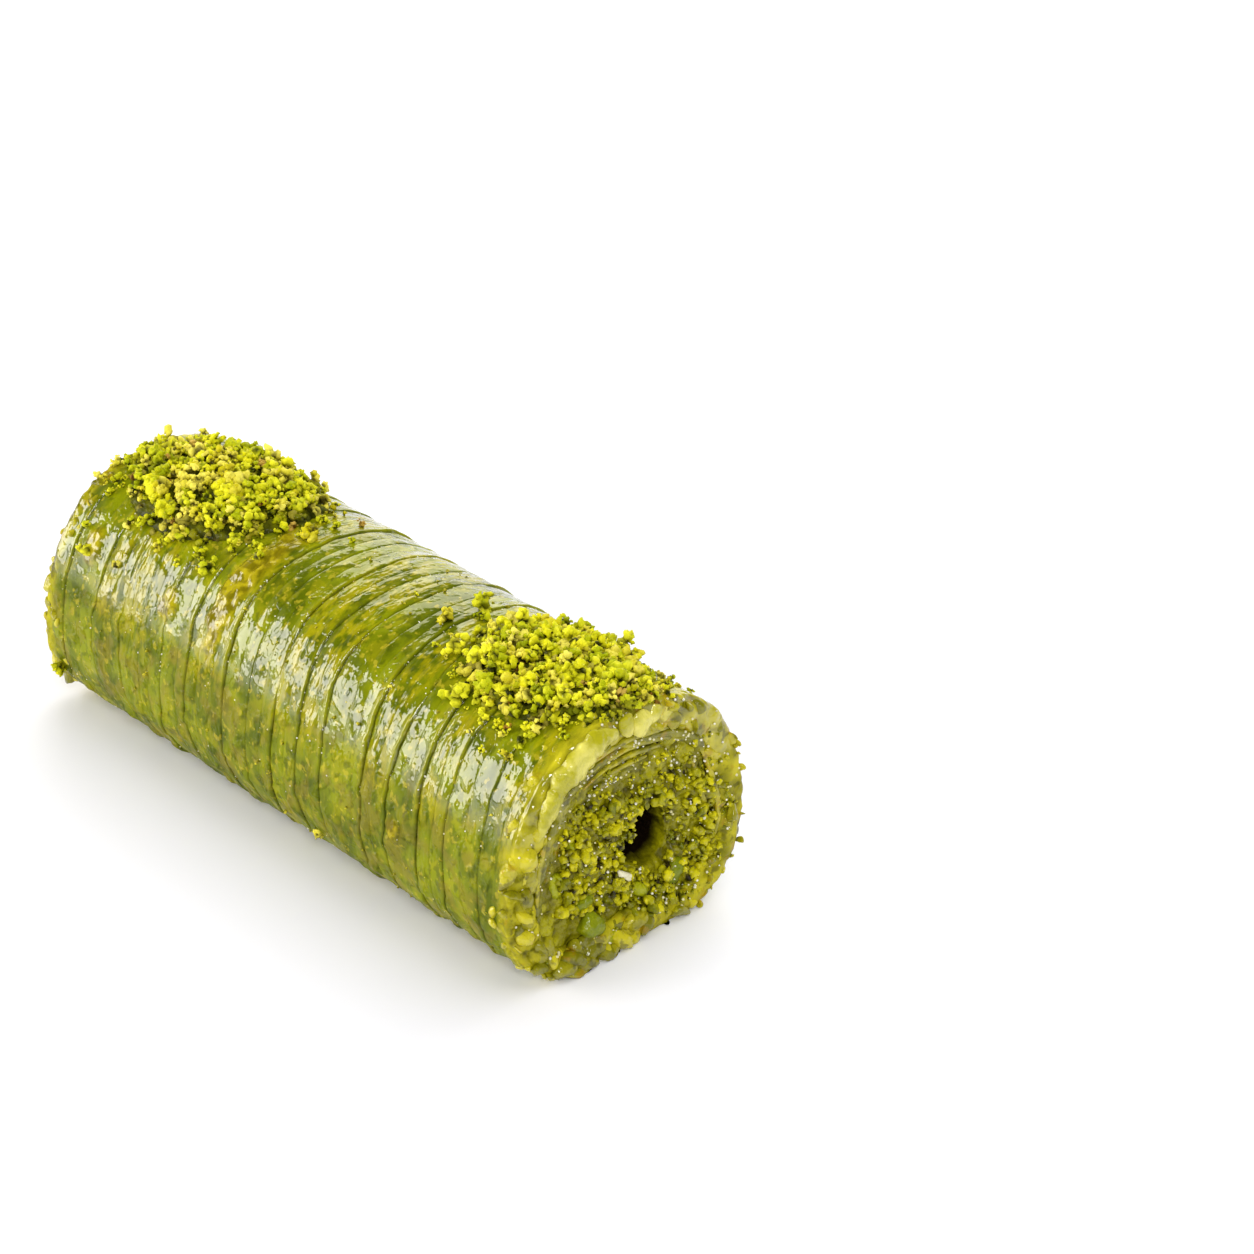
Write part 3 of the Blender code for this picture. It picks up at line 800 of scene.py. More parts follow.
def end_crumbs(facing, count, small, large, draw):
    """Crumbs between two sizes over the filling of one end, the outermost on the rim's inner edge.

    They are even over its area, and half as large high up, where the nuts are pressed flat.
    """
    i = np.arange(count)
    reach = section_radius(i * GOLDEN_ANGLE) - WALL + 0.5 * MM
    radius = reach * np.sqrt((i + draw.uniform(0, 1, count)) / count)
    places, from_hole = on_end(facing, radius, i * GOLDEN_ANGLE, draw.uniform(-0.3, 0.3, count) * MM)
    high = smooth_step((places[:, 2] - AXIS_HEIGHT - 2.5 * MM) / (2 * MM))
    size = draw.uniform(small, large, count) * (1 - 0.5 * high) * MM
    keep = (from_hole > 0.85 * size) & (contour_depth(places) > bare_depth(places))
    return places[keep], size[keep]


def overhanging_crumbs(facing):
    """Crumbs that hang over the hole's edge, from their angle round it, reach over it, and radius."""
    angle, over, size = np.array(OVERHANGS).T
    y, z = hole_edge(np.radians(angle), MOUTH_X)
    y = y - over * MM * np.cos(np.radians(angle))
    z = z - over * MM * np.sin(np.radians(angle))
    x = facing * (HALF_LENGTH - FACE_BACK - 0.35 * MM)
    return np.stack(np.broadcast_arrays(x, y, z), -1), size * MM


def rim_crumbs(facing, count, draw):
    """Crumbs stuck on the cut wall: most of them at the bottom and on the right, a few elsewhere."""
    angle = np.radians(draw.normal(-55, 60, count))
    deep = draw.uniform(0.55, 1.05, count)
    x = facing * (HALF_LENGTH + draw.uniform(-0.3, 0.25, count) * MM)
    places = on_roll(x, angle, deep * WALL)
    size = draw.uniform(0.2, 0.36, count) * MM
    places[:, 2] = np.maximum(places[:, 2], 1.6 * size)
    return places, size


end_spots = {}
for side, facing in (("near", 1), ("far", -1)):
    inner = [end_crumbs(facing, *row, draw) for row in END_SIZES] + [overhanging_crumbs(facing)]
    inner = [np.concatenate(group) for group in zip(*inner)]
    outer = rim_crumbs(facing, RIM_CRUMBS, draw)
    add_crumbs(f"filling_crumbs_{side}", *inner, draw)
    add_crumbs(f"rim_crumbs_{side}", *outer, draw)
    end_spots[facing] = [np.concatenate(group) for group in zip(inner, outer)]

# %% Specks on the skin
SPECKS = 380


def specks(count, draw):
    """Tiny crumbs at random places on the skin, with their middles just above it."""
    x = draw.uniform(-0.97, 0.97, count) * HALF_LENGTH
    angle = draw.uniform(math.radians(-60), math.radians(240), count)
    radius = (0.08 + 0.2 * draw.uniform(0, 1, count) ** 2) * MM
    return on_roll(x, angle, -0.3 * radius), radius


middles, radii = specks(SPECKS, draw)
add_crumbs("skin_specks", middles, radii, draw, knobs=1)

# %% [markdown]
# ## Folds of dough and chunks of nut at the ends
# The cut wall is not one clean ring: it is folds and scales of wet dough that overlap. Each one is
# a large lump, stretched along the rim and bent a little by smooth noise. At the shown end a
# crescent of pale dough and four pale scales hang over the top. Some nuts stay whole: they are
# smooth green lumps, and one sliver is almost white.

# %% Lumps laid on an end
BENDS = ((1.1, 0.26), (0.55, 0.12))


def laid_lumps(facing, table, draw, bent):
    """Lumps on an end from rows of y, z, how far out, half sizes round, across and along, and tilt.

    Round and across are meant round the roll's axis. The tilt, in degrees, is in the end's plane.
    """
    each = len(LUMP[0])
    y, z, out, long, wide, thick, tilt = np.array(table, float).T
    round_axis = np.arctan2(z, y) + np.radians(tilt)
    middles = np.stack((facing * (HALF_LENGTH + out * MM), y * MM, AXIS_HEIGHT + z * MM), -1)
    turns = np.zeros((len(y), 3, 3))
    turns[:, 0, 0] = 1
    turns[:, 1, 1] = turns[:, 2, 2] = np.cos(round_axis)
    turns[:, 2, 1] = np.sin(round_axis)
    turns[:, 1, 2] = -np.sin(round_axis)
    sizes = np.stack((thick, wide, long), -1) * MM
    places, faces = balls(LUMP, middles, sizes, turns, draw, 0.03)
    bend = sum(share * np.stack([smooth_noise(places, size * MM, seed) for seed in (61, 62, 63)], -1)
               for size, share in BENDS)
    places = places + bent * MM * bend
    places[:, 2] = np.maximum(places[:, 2], FLOOR_GAP)
    off = places - np.repeat(middles, each, axis=0)
    behind = -facing * off[:, 0] / np.repeat(thick * MM, each)
    outwards = (off[:, 1:] * np.repeat(middles[:, 1:] - (0, AXIS_HEIGHT), each, axis=0)).sum(-1)
    outwards /= np.repeat(np.hypot(y, z) * wide * MM * MM, each)
    return places, faces, behind, outwards


def add_lumps(name, facing, table, draw, slot, tones, bent):
    """One piece of laid lumps. A place behind its lump's middle gets painted shade, so gaps go dark.

    A place on a lump's outward side isn't in a gap, so it gets less painted shade.
    """
    places, faces, behind, outwards = laid_lumps(facing, table, draw, bent)
    tone = np.repeat(tones, len(LUMP[0]))
    pit = smooth_step(1.25 * behind + 0.15 - 1.3 * np.maximum(outwards, 0))
    return add_piece(name, places, faces, slot, tone=tone, pit=pit, rim=np.ones(len(tone)))


# %% Folds round the cut wall
FOLDS = 125
EDGE_LUMPS = 95
FOLD_SIZES = np.array(((0, 0.75), (55, 0.75), (80, 0.55), (115, 0.5), (160, 1.0), (230, 1.35),
                       (285, 1.0), (315, 0.5), (340, 0.7), (360, 0.75)))


def lump_rows(radius, angle, *columns):
    """Rows for a table of lumps, at distances in mm from the roll's axis and at angles round it."""
    return np.stack((radius * np.cos(angle), radius * np.sin(angle), *columns), -1)


def fold_table(count, draw):
    """Folds at random round the wall, larger at the lower left, each longer than wide."""
    angle = draw.uniform(0, 2 * math.pi, count)
    size = np.interp(np.degrees(angle), *FOLD_SIZES.T) * draw.uniform(0.6, 1.2, count)
    deep = draw.uniform(0.12, 1.15, count)
    radius = (section_radius(angle) - WALL * deep) / MM
    out = draw.uniform(-0.75, 0.35, count) - 0.3 * np.abs(deep - 0.5)
    tilt = draw.normal(0, 30, count)
    return lump_rows(radius, angle, out, 1.02 * size, 0.6 * size, 0.5 * size + 0.2, tilt)


def nub_table(draw):
    """A row of small nubs between the wall and the wound sheet, over the top of the end."""
    angle = np.radians(np.arange(48, 128, 4.5))
    radius = section_radius(angle) / MM - 2.6 + draw.uniform(-0.25, 0.25, len(angle))
    size = draw.uniform(0.35, 0.55, len(angle))
    out = draw.uniform(-0.5, -0.1, len(angle))
    return lump_rows(radius, angle, out, size, 1.3 * size, size, 0 * size)


def edge_table(count, draw):
    """Small flat lumps on the skin near an end, larger on the left, and further in at the crescent."""
    angle = draw.uniform(0, 2 * math.pi, count)
    radius = section_radius(angle) / MM - draw.uniform(0.0, 0.2, count)
    out = 0.1 - 2.5 * draw.uniform(0, 1, count) ** 1.5
    out = np.where(np.abs(angle - math.radians(126)) < math.radians(34), np.minimum(out, -1.3), out)
    size = draw.uniform(0.3, 0.8, count) * (0.65 - 0.25 * np.cos(angle))
    thick = draw.uniform(0.3, 0.6, count)
    return lump_rows(radius, angle, out, size, 0.6 * size, thick, 0 * size)


for side, facing in (("near", 1), ("far", -1)):
    table = np.concatenate((fold_table(FOLDS, draw), edge_table(EDGE_LUMPS, draw), nub_table(draw)))
    tones = draw.uniform(0, 1, len(table))
    tones[FOLDS:] = 0.3 + 0.5 * tones[FOLDS:]
    add_lumps(f"rim_folds_{side}", facing, table, draw, "soaked_pastry", tones, bent=1.25)

# %% The pale crescent and the edges of the layers
CRESCENT = (158, 99, 1.3, 0.7, 1.2, 0.5)
CRESCENT_DENTS = ((0.16, 0.12), (0.37, 0.22), (0.52, 0.1), (0.74, 0.2))
LAYER_EDGES = ((150, 62, 2.75, 2.95, 0.3, -0.05), (136, 56, 3.75, 3.9, 0.26, -0.2),
               (128, 62, 4.7, 4.6, 0.3, -0.3), (112, 70, 5.6, 5.4, 0.24, -0.45),
               (34, -24, 3.1, 3.0, 0.34, -0.15), (30, -14, 4.3, 4.4, 0.3, -0.35),
               (196, 158, 3.3, 3.0, 0.3, -0.2))


def dough_roll(start, end, first_depth, last_depth, half, out, dents=(), steps=150, steps_round=16):
    """A flattened sausage along the rim, pointed at both ends: its half width is the root of an arc.

    It runs between two angles in degrees and two depths in mm. Dents and two sizes of smooth noise
    make it look like dough pressed together by hand.
    """
    share = np.linspace(0, 1, steps)[:, None]
    turn = np.arange(steps_round) * 2 * math.pi / steps_round
    angle = np.radians(start + share * (end - start))
    arc = np.clip(1 - np.abs(2 * share - 1) ** 3.0, 0.0004, 1) ** 0.5
    width = half * MM * arc * (0.72 + 0.4 * share)
    for place, depth in dents:
        width = width * (1 - depth * np.exp(-(((share - place) / 0.022) ** 2)))
    depth = (first_depth + share * (last_depth - first_depth)) * MM
    x = HALF_LENGTH + out * MM + 0.7 * width * np.sin(turn)
    flat = on_roll(x, angle, depth + width * np.cos(turn))
    depth = depth + 0.25 * half * MM * smooth_noise(flat, 2.2 * MM, 64)
    dent = 0.3 * smooth_noise(flat, 1.5 * MM, 65) + 0.16 * smooth_noise(flat, 0.6 * MM, 66)
    swell = width * (1 + dent + 0.15 * (lumps(flat, 1.3 * MM, 67)[0] - 0.5))
    places = on_roll(x + 0.7 * (swell - width) * np.sin(turn), angle, depth + swell * np.cos(turn))
    # The second array is painted shade on the side turned into the roll, away from the cut face.
    return places, smooth_step(-np.sin(turn) * 1.1 + 0.1 + 0 * width)


def add_rolls(name, rolls):
    """Rolls of dough joined in one piece, closed at their ends."""
    places, pits = (np.concatenate(group) for group in zip(*rolls))
    steps, around = rolls[0][0].shape[:2]
    faces = ring_faces(steps, around, closed_rows=False)
    faces = np.concatenate([faces + k * steps * around for k in range(len(rolls))])
    tone = 0.45 + 0.3 * smooth_noise(places, 1.4 * MM, 68)
    close_ends(add_piece(name, places, faces, "soaked_pastry", pit=pits, tone=tone))


add_rolls("pale_crescent", [dough_roll(*CRESCENT, dents=CRESCENT_DENTS, steps_round=30)])
add_rolls("layer_edges", [dough_roll(*row) for row in LAYER_EDGES])

# %% Pale scales, whole nuts and the sliver
PALE_FOLDS = (
    (-0.5, 10.9, 0.3, 0.8, 1.1, 0.4, 0), (1.1, 10.5, 0.35, 1.0, 1.25, 0.42, 14),
    (2.3, 10.7, 0.2, 0.75, 1.0, 0.4, -12), (3.9, 10.2, 0.0, 0.6, 0.75, 0.35, 10))
WHOLE_NUTS = (
    (-4.2, -7.1, -0.15, 1.3, 1.2, 0.95, 0), (-4.6, -4.8, -0.6, 0.8, 1.0, 0.8, 10),
    (-2.4, -9.1, -0.3, 0.9, 0.9, 0.7, 0),
    (1.6, -6.3, -0.5, 0.6, 1.1, 0.7, 30), (5.6, -6.3, -0.5, 1.2, 0.8, 0.6, 20),
    (-7.4, -2.0, -0.8, 1.3, 0.8, 0.6, 0), (-5.9, 1.0, -0.9, 0.8, 0.7, 0.6, 0))
SLIVER = ((-0.6, -3.7, 0.1, 0.3, 1.3, 0.3, 46),)
for name, table, slot, bent in (("pale_scales", PALE_FOLDS, "soaked_pastry", 1),
                                ("whole_nuts", WHOLE_NUTS, "ground_pistachio", 0.75),
                                ("white_sliver", SLIVER, "ground_pistachio", 1)):
    add_lumps(name, 1, table, draw, slot, draw.uniform(0, 1, len(table)), bent)

# %% Beads of painted glint
BEADS = 260


def beads_on(facing, spots, radii, count, draw):
    """Tiny beads of painted glint on the outward side of random crumbs, each at its crumb's surface."""
    pick = draw.integers(0, len(spots), count)
    towards = np.array((facing * 1.0, 0.0, 0.25)) + draw.normal(0, 0.45, (count, 3))
    towards /= np.linalg.norm(towards, axis=1)[:, None]
    return spots[pick] + towards * radii[pick, None] * 0.95, draw.uniform(0.05, 0.14, count) * MM


def band_spots(facing, draw):
    """Places on the outward side of the wound sheet and the rim, mostly over the top of the end."""
    rows = near_rim[0][4:-4] if facing > 0 else far_rim[0][4:-4]
    proud = sheet[facing * sheet[..., 0] > HALF_LENGTH - 1.6 * MM]
    found = np.concatenate((rows.reshape(-1, 3), np.repeat(proud, 3, axis=0)))
    found = found[draw.uniform(-8 * MM, 14 * MM, len(found)) < found[:, 2] - AXIS_HEIGHT]
    return found, np.full(len(found), 0.05 * MM)


def skin_beads(count, draw):
    """Beads of painted glint on the skin, most of them in creases and on lips, and fewer low down."""
    high = smooth_step(skin_outer[..., 2] / MM - 11)
    chance = (0.04 + crease_mark + 0.25 * lip_mark) * (0.3 + 0.7 * high)
    pick = draw.choice(chance.size, count, p=(chance / chance.sum()).ravel())
    return skin_outer.reshape(-1, 3)[pick], draw.uniform(0.035, 0.09, count) * MM


# The beads are painted glints: white dots where wet syrup would mirror the lamps.
beads = [skin_beads(3 * BEADS, draw)]
beads += [beads_on(facing, *spots, BEADS, draw) for facing, spots in end_spots.items()]
beads += [beads_on(facing, *band_spots(facing, draw), BEADS, draw) for facing in (1, -1)]
bead_middles, bead_radii = (np.concatenate(group) for group in zip(*beads))
bead_turns = turned_at_random(len(bead_radii), draw)
bead_sizes = np.repeat(bead_radii[:, None], 3, 1)
bead_places, bead_faces = balls(BIT, bead_middles, bead_sizes, bead_turns, draw, 0.0)
add_piece("painted_glint_beads", bead_places, bead_faces, "soaked_pastry")

# %% [markdown]
# ## Materials
# Colours are written as they look on a screen and turned into the shader's own light values. What
# several materials share is a node group that each of them places with its own values: a mottle
# drawn out round the roll, the colours of broken nut, and the colours of dough at a cut.

# %% Short ways to add nodes
SYRUP_IOR = 1.6


def paint(red, green, blue):
    """A screen colour from 0 to 255 as linear light: near a power of 2.4 with a small toe."""
    screen = np.array((red, green, blue)) / 255
    linear = np.where(screen <= 0.04045, screen / 12.92, ((screen + 0.055) / 1.055) ** 2.4)
    return (*linear.tolist(), 1.0)


def feed(tree, value, socket):
    """Links a socket to another one, or sets it to a fixed value."""
    if isinstance(value, bpy.types.NodeSocket):
        tree.links.new(value, socket)
    else:
        socket.default_value = value


def mix_colour(tree, factor, first, second):
    """A Mix node for colours. Each input is a socket or a fixed value."""
    mix = tree.nodes.new("ShaderNodeMix")
    mix.data_type = "RGBA"
    for value, place in ((factor, 0), (first, 6), (second, 7)):
        feed(tree, value, mix.inputs[place])
    return mix.outputs[2]


def maths(tree, operation, first, second):
    """A Math node. Each input is a socket or a fixed number."""
    node = tree.nodes.new("ShaderNodeMath")
    node.operation = operation
    feed(tree, first, node.inputs[0])
    feed(tree, second, node.inputs[1])
    return node.outputs[0]


def times(tree, first, second):
    """The product of two numbers."""
    return maths(tree, "MULTIPLY", first, second)


def plus(tree, first, second):
    """The sum of two numbers."""
    return maths(tree, "ADD", first, second)


def rise_between(tree, value, low, high):
    """A Map Range node that goes smoothly from 0 at low to 1 at high."""
    node = tree.nodes.new("ShaderNodeMapRange")
    node.interpolation_type = "SMOOTHSTEP"
    feed(tree, value, node.inputs["Value"])
    node.inputs["From Min"].default_value = low
    node.inputs["From Max"].default_value = high
    return node.outputs["Result"]


def mark(tree, name):
    """The number that a piece keeps on its points under this name."""
    node = tree.nodes.new("ShaderNodeAttribute")
    node.attribute_name = name
    return node.outputs["Fac"]


def height_in(tree, coordinates):
    """The Z part of one kind of coordinates."""
    parts = tree.nodes.new("ShaderNodeSeparateXYZ")
    feed(tree, tree.nodes.new("ShaderNodeTexCoord").outputs[coordinates], parts.inputs[0])
    return parts.outputs["Z"]


def layer(tree, colour, noise, low, high, share, added):
    """Lays a colour over another where a noise rises from low to high, at most to a share."""
    return mix_colour(tree, times(tree, rise_between(tree, noise, low, high), share), colour, added)


# %% Shared effects as node groups
NUMBER = "NodeSocketFloat"
COLOUR = "NodeSocketColor"


def new_group(name, kind_in, inputs, kind_out, output):
    """A node group with one output: its tree, the sockets that come in and the one that goes out."""
    group = bpy.data.node_groups.new(name, "ShaderNodeTree")
    for socket in inputs:
        group.interface.new_socket(socket, in_out="INPUT", socket_type=kind_in)
    group.interface.new_socket(output, in_out="OUTPUT", socket_type=kind_out)
    given = group.nodes.new("NodeGroupInput").outputs
    return group, given, group.nodes.new("NodeGroupOutput").inputs[output]


def place_group(tree, group, **values):
    """Places a node group in a tree with its own values, and gives its output."""
    node = tree.nodes.new("ShaderNodeGroup")
    node.node_tree = group
    for name, value in values.items():
        node.inputs[name].default_value = value
    return node.outputs[0]


def drawn_out_mottle():
    """Noise on object coordinates, with one scale along the roll and one across it."""
    group, given, out = new_group(
        "drawn_out_mottle", NUMBER, ("Along", "Across", "Detail"), NUMBER, "Mottle")
    coordinates = group.nodes.new("ShaderNodeTexCoord")
    scales = group.nodes.new("ShaderNodeCombineXYZ")
    product = group.nodes.new("ShaderNodeVectorMath")
    product.operation = "MULTIPLY"
    noise = group.nodes.new("ShaderNodeTexNoise")
    noise.inputs["Scale"].default_value = 1.0
    for axis, scale in zip("XYZ", ("Along", "Across", "Across")):
        feed(group, given[scale], scales.inputs[axis])
    feed(group, coordinates.outputs["Object"], product.inputs[0])
    feed(group, scales.outputs[0], product.inputs[1])
    feed(group, product.outputs[0], noise.inputs["Vector"])
    feed(group, given["Detail"], noise.inputs["Detail"])
    feed(group, noise.outputs["Fac"], out)
    return group


MOTTLE = drawn_out_mottle()


def mottle(tree, along, across, detail=2.0):
    """The mottle, with waves per metre along the roll and across it."""
    return place_group(tree, MOTTLE, Along=along, Across=across, Detail=detail)


def tone_and_mottle(tree, tone_share, waves, detail):
    """A shade from a lump's own tone and an even mottle."""
    speckle = mottle(tree, waves, waves, detail)
    return plus(tree, times(tree, mark(tree, "tone"), tone_share), times(tree, speckle, 0.6))


def cut_dough_colours():
    """Wet dough at a cut: olive to yellow-green by tone and mottle, with brown-green painted shade in
    hollows.
    """
    group, _, out = new_group("cut_dough_colours", COLOUR, (), COLOUR, "Colour")
    shade = rise_between(group, tone_and_mottle(group, 0.7, 900, 4.0), 0.25, 1.0)
    dough = mix_colour(group, shade, paint(118, 116, 4), paint(204, 193, 34))
    dough = layer(group, dough, mottle(group, 640, 640, 3.0), 0.58, 0.68, 0.4, paint(172, 124, 14))
    dough = layer(group, dough, mottle(group, 800, 800, 4.0), 0.56, 0.66, 0.6, paint(64, 62, 3))
    # Painted shade: hollows are coloured brown-green.
    feed(group, mix_colour(group, times(group, mark(group, "pit"), 0.9), dough, paint(44, 40, 2)), out)
    return group


def broken_nut_colours():
    """Broken nut: tone and mottle pick its colour from dark to light, and gaps get a painted shade colour.
    """
    group, given, out = new_group("broken_nut_colours", COLOUR, ("Dark", "Light", "Gap"), COLOUR, "Colour")
    shade = rise_between(group, tone_and_mottle(group, 0.6, 1400, 3.0), 0.25, 0.85)
    nut = mix_colour(group, shade, given["Dark"], given["Light"])
    # Painted shade: the gaps between lumps take the shade colour.
    feed(group, mix_colour(group, mark(group, "pit"), nut, given["Gap"]), out)
    return group


CUT_DOUGH = cut_dough_colours()
BROKEN_NUT = broken_nut_colours()
print("node groups:", ", ".join(group.name for group in bpy.data.node_groups))


# %% A material and its bump
def new_material(name, roughness, specular=0.5, coat=0.0, coat_roughness=0.05):
    """A Principled material with its constant values set on its own sockets."""
    material = bpy.data.materials.new(name)
    material.use_nodes = True
    shader = material.node_tree.nodes["Principled BSDF"]
    shader.inputs["Roughness"].default_value = roughness
    shader.inputs["Specular IOR Level"].default_value = specular
    shader.inputs["Coat Weight"].default_value = coat
    shader.inputs["Coat Roughness"].default_value = coat_roughness
    shader.inputs["Coat IOR"].default_value = SYRUP_IOR
    return material, material.node_tree, shader


def add_bump(tree, shader, height, distance):
    """Bends the light on the base and on the coat by a height, given as a share of a distance."""
    bump = tree.nodes.new("ShaderNodeBump")
    bump.inputs["Strength"].default_value = 1.0
    bump.inputs["Distance"].default_value = distance
    feed(tree, height, bump.inputs["Height"])
    feed(tree, bump.outputs["Normal"], shader.inputs["Normal"])
    feed(tree, bump.outputs["Normal"], shader.inputs["Coat Normal"])


# %% [markdown]
# ### Soaked skin
# Through the thin dough the nuts show as yellow and brownish patches in deep green. The colour
# builds up from dark to light: deep green, patches, brown tinge, then the lips and rims, where
# the dough is thick and pale. The lips are painted lighter high up and darker low down, and the
# creases nearly black, as painted light and shade. A clear coat stands for the syrup, and a bump
# adds its ripples.

# %% The skin's colours
SKIN_LAYERS = (
    (300, 200, 5.0, 0.36, 0.66, 1.0, (132, 140, 3)),
    (620, 520, 5.0, 0.5, 0.62, 0.4, (160, 154, 14)),
    (950, 760, 3.0, 0.53, 0.64, 0.5, (62, 74, 6)),
    (1400, 1300, 2.0, 0.59, 0.69, 0.5, (194, 176, 44)))


def height_share(tree, low, high):
    """0 below one height over the table and 1 above another, smoothly between."""
    return rise_between(tree, height_in(tree, "Object"), low, high)


def skin_colour(tree):
    """Layers the skin's colours, from the deep green under everything to the cut rims."""
    colour = paint(86, 98, 1)
    for along, across, detail, low, high, share, added in SKIN_LAYERS:
        colour = layer(tree, colour, mottle(tree, along, across, detail), low, high, share, paint(*added))
    below = plus(tree, times(tree, height_share(tree, 13.5 * MM, 16.5 * MM), -1.0), 1.0)
    brown = times(tree, rise_between(tree, mottle(tree, 520, 430, 4.0), 0.48, 0.62), below)
    colour = mix_colour(tree, times(tree, brown, 0.5), colour, paint(134, 120, 38))
    golden = times(tree, rise_between(tree, mottle(tree, 1300, 640, 3.0), 0.4, 0.6), mark(tree, "wrinkle"))
    golden = times(tree, golden, height_share(tree, 10.5 * MM, 14 * MM))
    colour = mix_colour(tree, times(tree, golden, 0.5), colour, paint(184, 170, 10))
    ripe = rise_between(tree, mottle(tree, 900, 900, 3.0), 0.4, 0.6)
    ripe = mix_colour(tree, ripe, paint(118, 104, 4), paint(190, 172, 22))
    colour = mix_colour(tree, times(tree, mark(tree, "amber"), 0.8), colour, ripe)
    # The lips' yellow-green is their own, but it is painted lighter high up and darker low down, as painted
    # light and shade.
    lips = mix_colour(tree, height_share(tree, 10 * MM, 15 * MM), paint(88, 98, 2), paint(160, 158, 8))
    colour = mix_colour(tree, times(tree, mark(tree, "lip"), 0.7), colour, lips)
    # Painted shade: the creases are coloured nearly black.
    colour = mix_colour(tree, mark(tree, "crease"), colour, paint(24, 28, 1))
    return mix_colour(tree, mark(tree, "rim"), colour, place_group(tree, CUT_DOUGH))


# %% The skin's ripples and its material
def skin_ripples(tree):
    """Height of the syrup: films on slow waves, crumpled dough, beads along creases, and pimples.

    Films and waves fade out low down, and pimples are weaker high up.
    """
    films = times(tree, rise_between(tree, mottle(tree, 1150, 820, 1.0), 0.58, 0.66), 0.28)
    waves = times(tree, mottle(tree, 900, 400, 0.0), 0.34)
    ripples = times(tree, plus(tree, films, waves), height_share(tree, 13.0 * MM, 17 * MM))
    crumpled = times(tree, mottle(tree, 1500, 560, 1.5), mark(tree, "wrinkle"))
    beaded = times(tree, mottle(tree, 2200, 3000, 0.0), mark(tree, "crease"))
    weaker = times(tree, height_share(tree, 13.5 * MM, 15.5 * MM), -1.2)
    pimples = rise_between(tree, mottle(tree, 850, 750, 2.0), 0.48, 0.7)
    pimples = times(tree, pimples, plus(tree, weaker, 1.7))
    height = plus(tree, ripples, times(tree, crumpled, 2.6))
    height = plus(tree, height, times(tree, beaded, 1.2))
    return plus(tree, height, pimples)


def soaked_material():
    """The skin: its colours under a clear coat that is thick at the top and runs thin lower down."""
    material, tree, shader = new_material("soaked_pastry", 0.5, 0.03, coat=1.0, coat_roughness=0.02)
    feed(tree, skin_colour(tree), shader.inputs["Base Color"])
    thick = times(tree, height_share(tree, 13.6 * MM, 15.2 * MM), 0.82)
    feed(tree, plus(tree, thick, 0.18), shader.inputs["Coat Weight"])
    add_bump(tree, shader, skin_ripples(tree), 0.1 * MM)
    return material


# %% Dough at the ends
GRAIN_HEIGHT = 0.22 * MM


def dough_material(name, colour_of):
    """Wet dough at the cut ends: a clear coat over a colour, with small bumps that catch the light."""
    material, tree, shader = new_material(name, 0.5, 0.05, coat=0.75)
    feed(tree, colour_of(tree), shader.inputs["Base Color"])
    add_bump(tree, shader, mottle(tree, 1700, 1700), GRAIN_HEIGHT)
    return material


def cut_colour(tree):
    """The shared colours of a cut."""
    return place_group(tree, CUT_DOUGH)


def pale_colour(tree):
    """Pale dough that is clearer and greener in places, with painted shade behind its edges."""
    shade = rise_between(tree, mottle(tree, 420, 420, 4.0), 0.38, 0.62)
    pale = mix_colour(tree, shade, paint(176, 170, 18), paint(226, 217, 100))
    return mix_colour(tree, times(tree, mark(tree, "pit"), 0.75), pale, paint(84, 82, 4))


# %% Nuts and beads
# Each row: the nut's dark and light colours, the colour of painted shade in its gaps, and its coat.
NUTS = {
    "nut_filling": ((106, 102, 2), (178, 172, 6), (24, 14, 2), 0.4),
    "filling_crumbs": ((106, 112, 2), (222, 212, 18), (40, 32, 1), 0.4),
    "rim_crumbs": ((120, 124, 2), (206, 198, 26), (70, 66, 2), 0.3),
    "whole_nuts": ((118, 130, 2), (176, 178, 10), (60, 60, 1), 0.5),
    "white_sliver": ((222, 212, 160), (244, 238, 206), (150, 140, 60), 0.15),
    # The bed is coloured darker than the crumbs, as painted shade under them.
    "heap_bed": ((76, 82, 1), (124, 126, 2), (28, 30, 1), 0.15),
    "crumbs_green": ((172, 182, 1), (246, 240, 44), (40, 46, 1), 0.05),
    "crumbs_olive": ((152, 164, 1), (234, 228, 26), (34, 38, 1), 0.1),
    "crumbs_gold": ((208, 196, 4), (250, 238, 96), (62, 56, 1), 0.05),
    "crumbs_tan": ((168, 122, 26), (216, 184, 84), (92, 60, 6), 0.05),
    "skin_specks": ((170, 162, 10), (228, 214, 60), (110, 106, 4), 0.15)}


def nut_material(name, dark, light, gap, coat):
    """Broken nut in its own shades, with a fine grain and a thin coat of syrup."""
    material, tree, shader = new_material(name, 0.6, 0.1, coat=coat, coat_roughness=0.08)
    colour = place_group(tree, BROKEN_NUT, Dark=paint(*dark), Light=paint(*light), Gap=paint(*gap))
    feed(tree, colour, shader.inputs["Base Color"])
    add_bump(tree, shader, mottle(tree, 2000, 2000), GRAIN_HEIGHT)
    return material


def bead_material():
    """Beads of painted glint: coloured nearly white where the syrup would mirror the lamps."""
    material, tree, shader = new_material("painted_glint_bead", 0.15, coat=1.0, coat_roughness=0.02)
    shade = rise_between(tree, mottle(tree, 800, 800), 0.3, 0.7)
    white = mix_colour(tree, shade, paint(226, 218, 150), paint(252, 250, 238))
    feed(tree, white, shader.inputs["Base Color"])
    return material


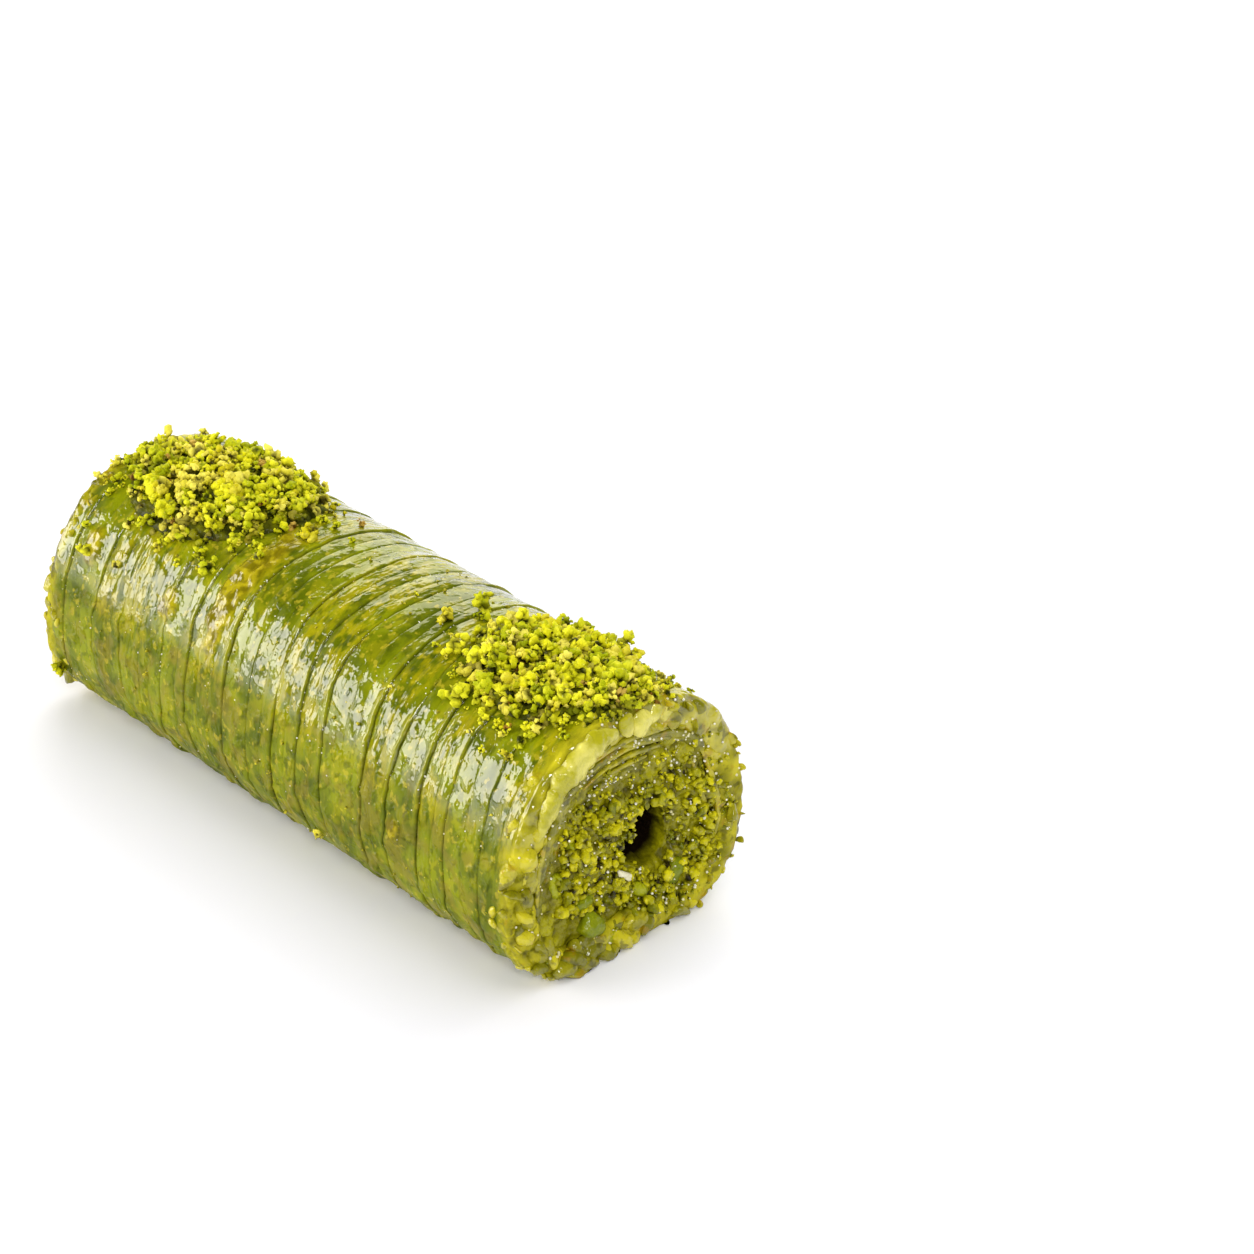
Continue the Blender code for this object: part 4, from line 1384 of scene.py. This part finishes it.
# %% Give each piece its material
finishes = {name: nut_material(name, *row) for name, row in NUTS.items()}
finishes["soaked_skin"] = soaked_material()
cut_dough = dough_material("cut_dough", cut_colour)
finishes |= {name: cut_dough for name in ("wound_sheet", "rim_folds", "layer_edges")}
finishes["pale_"] = dough_material("pale_dough", pale_colour)
finishes["painted_glint_beads"] = bead_material()
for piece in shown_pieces():
    for name, material in finishes.items():
        if piece.name.startswith(name):
            piece.data.materials.append(material)
            print(piece.name, "has", material.name)

# %% [markdown]
# ## Floor, light and camera
# The roll lies on a plain white table in a dim room. Syrup mirrors all that is bright, so the wet
# skin stays deep green only where it mirrors the dim room. A wide soft window of light on the left
# makes the long broken highlight, and one behind makes the sheen along the top. A small lamp puts
# sparks on the shown end. The other lamps light the roll without being mirrored.

# %% Floor and room
FLOOR_REACH = 3.0
FLOOR_DROP = 0.05 * MM


def add_floor():
    """A large flat square a hair under the roll."""
    data = bpy.data.meshes.new("floor")
    signs = ((-1, -1), (1, -1), (1, 1), (-1, 1))
    data.from_pydata([(a * FLOOR_REACH, b * FLOOR_REACH, -FLOOR_DROP) for a, b in signs], [], [(0, 1, 2, 3)])
    material, _, shader = new_material("floor_white", 0.6, 0.2)
    shader.inputs["Base Color"].default_value = (0.93, 0.93, 0.98, 1)
    data.materials.append(material)
    floor = add_to_scene("floor", data)


def set_room(wall=0.15, ceiling=0.02):
    """World light: grey walls up to about 35 degrees above the horizon, then a dark ceiling."""
    world = bpy.data.worlds.new("room")
    world.use_nodes = True
    tree = world.node_tree
    up = rise_between(tree, height_in(tree, "Generated"), 0.5, 0.6)
    colour = mix_colour(tree, up, (wall, wall, wall, 1), (ceiling, ceiling, ceiling, 1))
    feed(tree, colour, tree.nodes["Background"].inputs["Color"])
    bpy.context.scene.world = world


add_floor()
set_room()
bpy.context.scene.view_settings.view_transform = "Standard"

# %% Soft lights
ROLL_MIDDLE = Vector((0, 0, AXIS_HEIGHT))


def direction(azimuth, elevation):
    """The way out from the roll at a compass angle, with 0 along +X and 90 along +Y, and a rise."""
    a, e = math.radians(azimuth), math.radians(elevation)
    return Vector((math.cos(a) * math.cos(e), math.sin(a) * math.cos(e), math.sin(e)))


def softbox(name, azimuth, elevation, distance, width, height, power, in_gloss=True, in_diffuse=True,
            tint=(1, 1, 1)):
    """An area light that faces the roll from a direction, seen in gloss, in diffuse light or both."""
    light = bpy.data.lights.new(name, "AREA")
    light.shape = "RECTANGLE"
    light.size = width
    light.size_y = height
    light.energy = power
    light.color = tint
    lamp = add_to_scene(name, light)
    towards = direction(azimuth, elevation)
    lamp.location = towards * distance + ROLL_MIDDLE
    lamp.rotation_euler = towards.to_track_quat("Z", "Y").to_euler()
    lamp.visible_glossy = in_gloss
    lamp.visible_diffuse = in_diffuse
    lamp.visible_camera = False


softbox("window_left", 226, 16.8, 0.9, 0.72, 0.43, 6.5, tint=(1, 0.955, 0.9))
softbox("window_behind", 132, 18, 1.2, 1.4, 0.7, 6.4, in_diffuse=False, tint=(1, 0.95, 0.68))
softbox("ceiling_fill", 40, 72, 1.2, 1.4, 1.4, 10.4, in_gloss=False)
softbox("glow_behind", 118, 34, 1.2, 1.4, 1.0, 11.0, in_gloss=False)
softbox("side_fill", 258, 24, 1.2, 1.2, 0.8, 2.9, in_gloss=False)
softbox("end_fill", -30, 18, 1.2, 1.2, 0.8, 1.6, in_gloss=False)
softbox("spark", -34, 38, 0.8, 0.18, 0.18, 2.0)

# %% Camera
LENS = 104.96
SENSOR_WIDTH = 36


def set_camera(azimuth=-42.62, elevation=29.66, distance=322.8 * MM, right=21.8 * MM, up=5.33 * MM):
    """Looks at the roll from a direction, moved right and up so that the roll sits low on the left."""
    back = direction(azimuth, elevation)
    side = direction(azimuth + 90, 0)
    data = bpy.data.cameras.new("camera")
    data.lens = LENS
    data.sensor_width = SENSOR_WIDTH
    data.clip_start = 0.01
    camera = add_to_scene("camera", data)
    camera.location = ROLL_MIDDLE + back * distance + side * right + back.cross(side) * up
    camera.rotation_euler = back.to_track_quat("Z", "Y").to_euler()
    bpy.context.scene.camera = camera


set_camera()
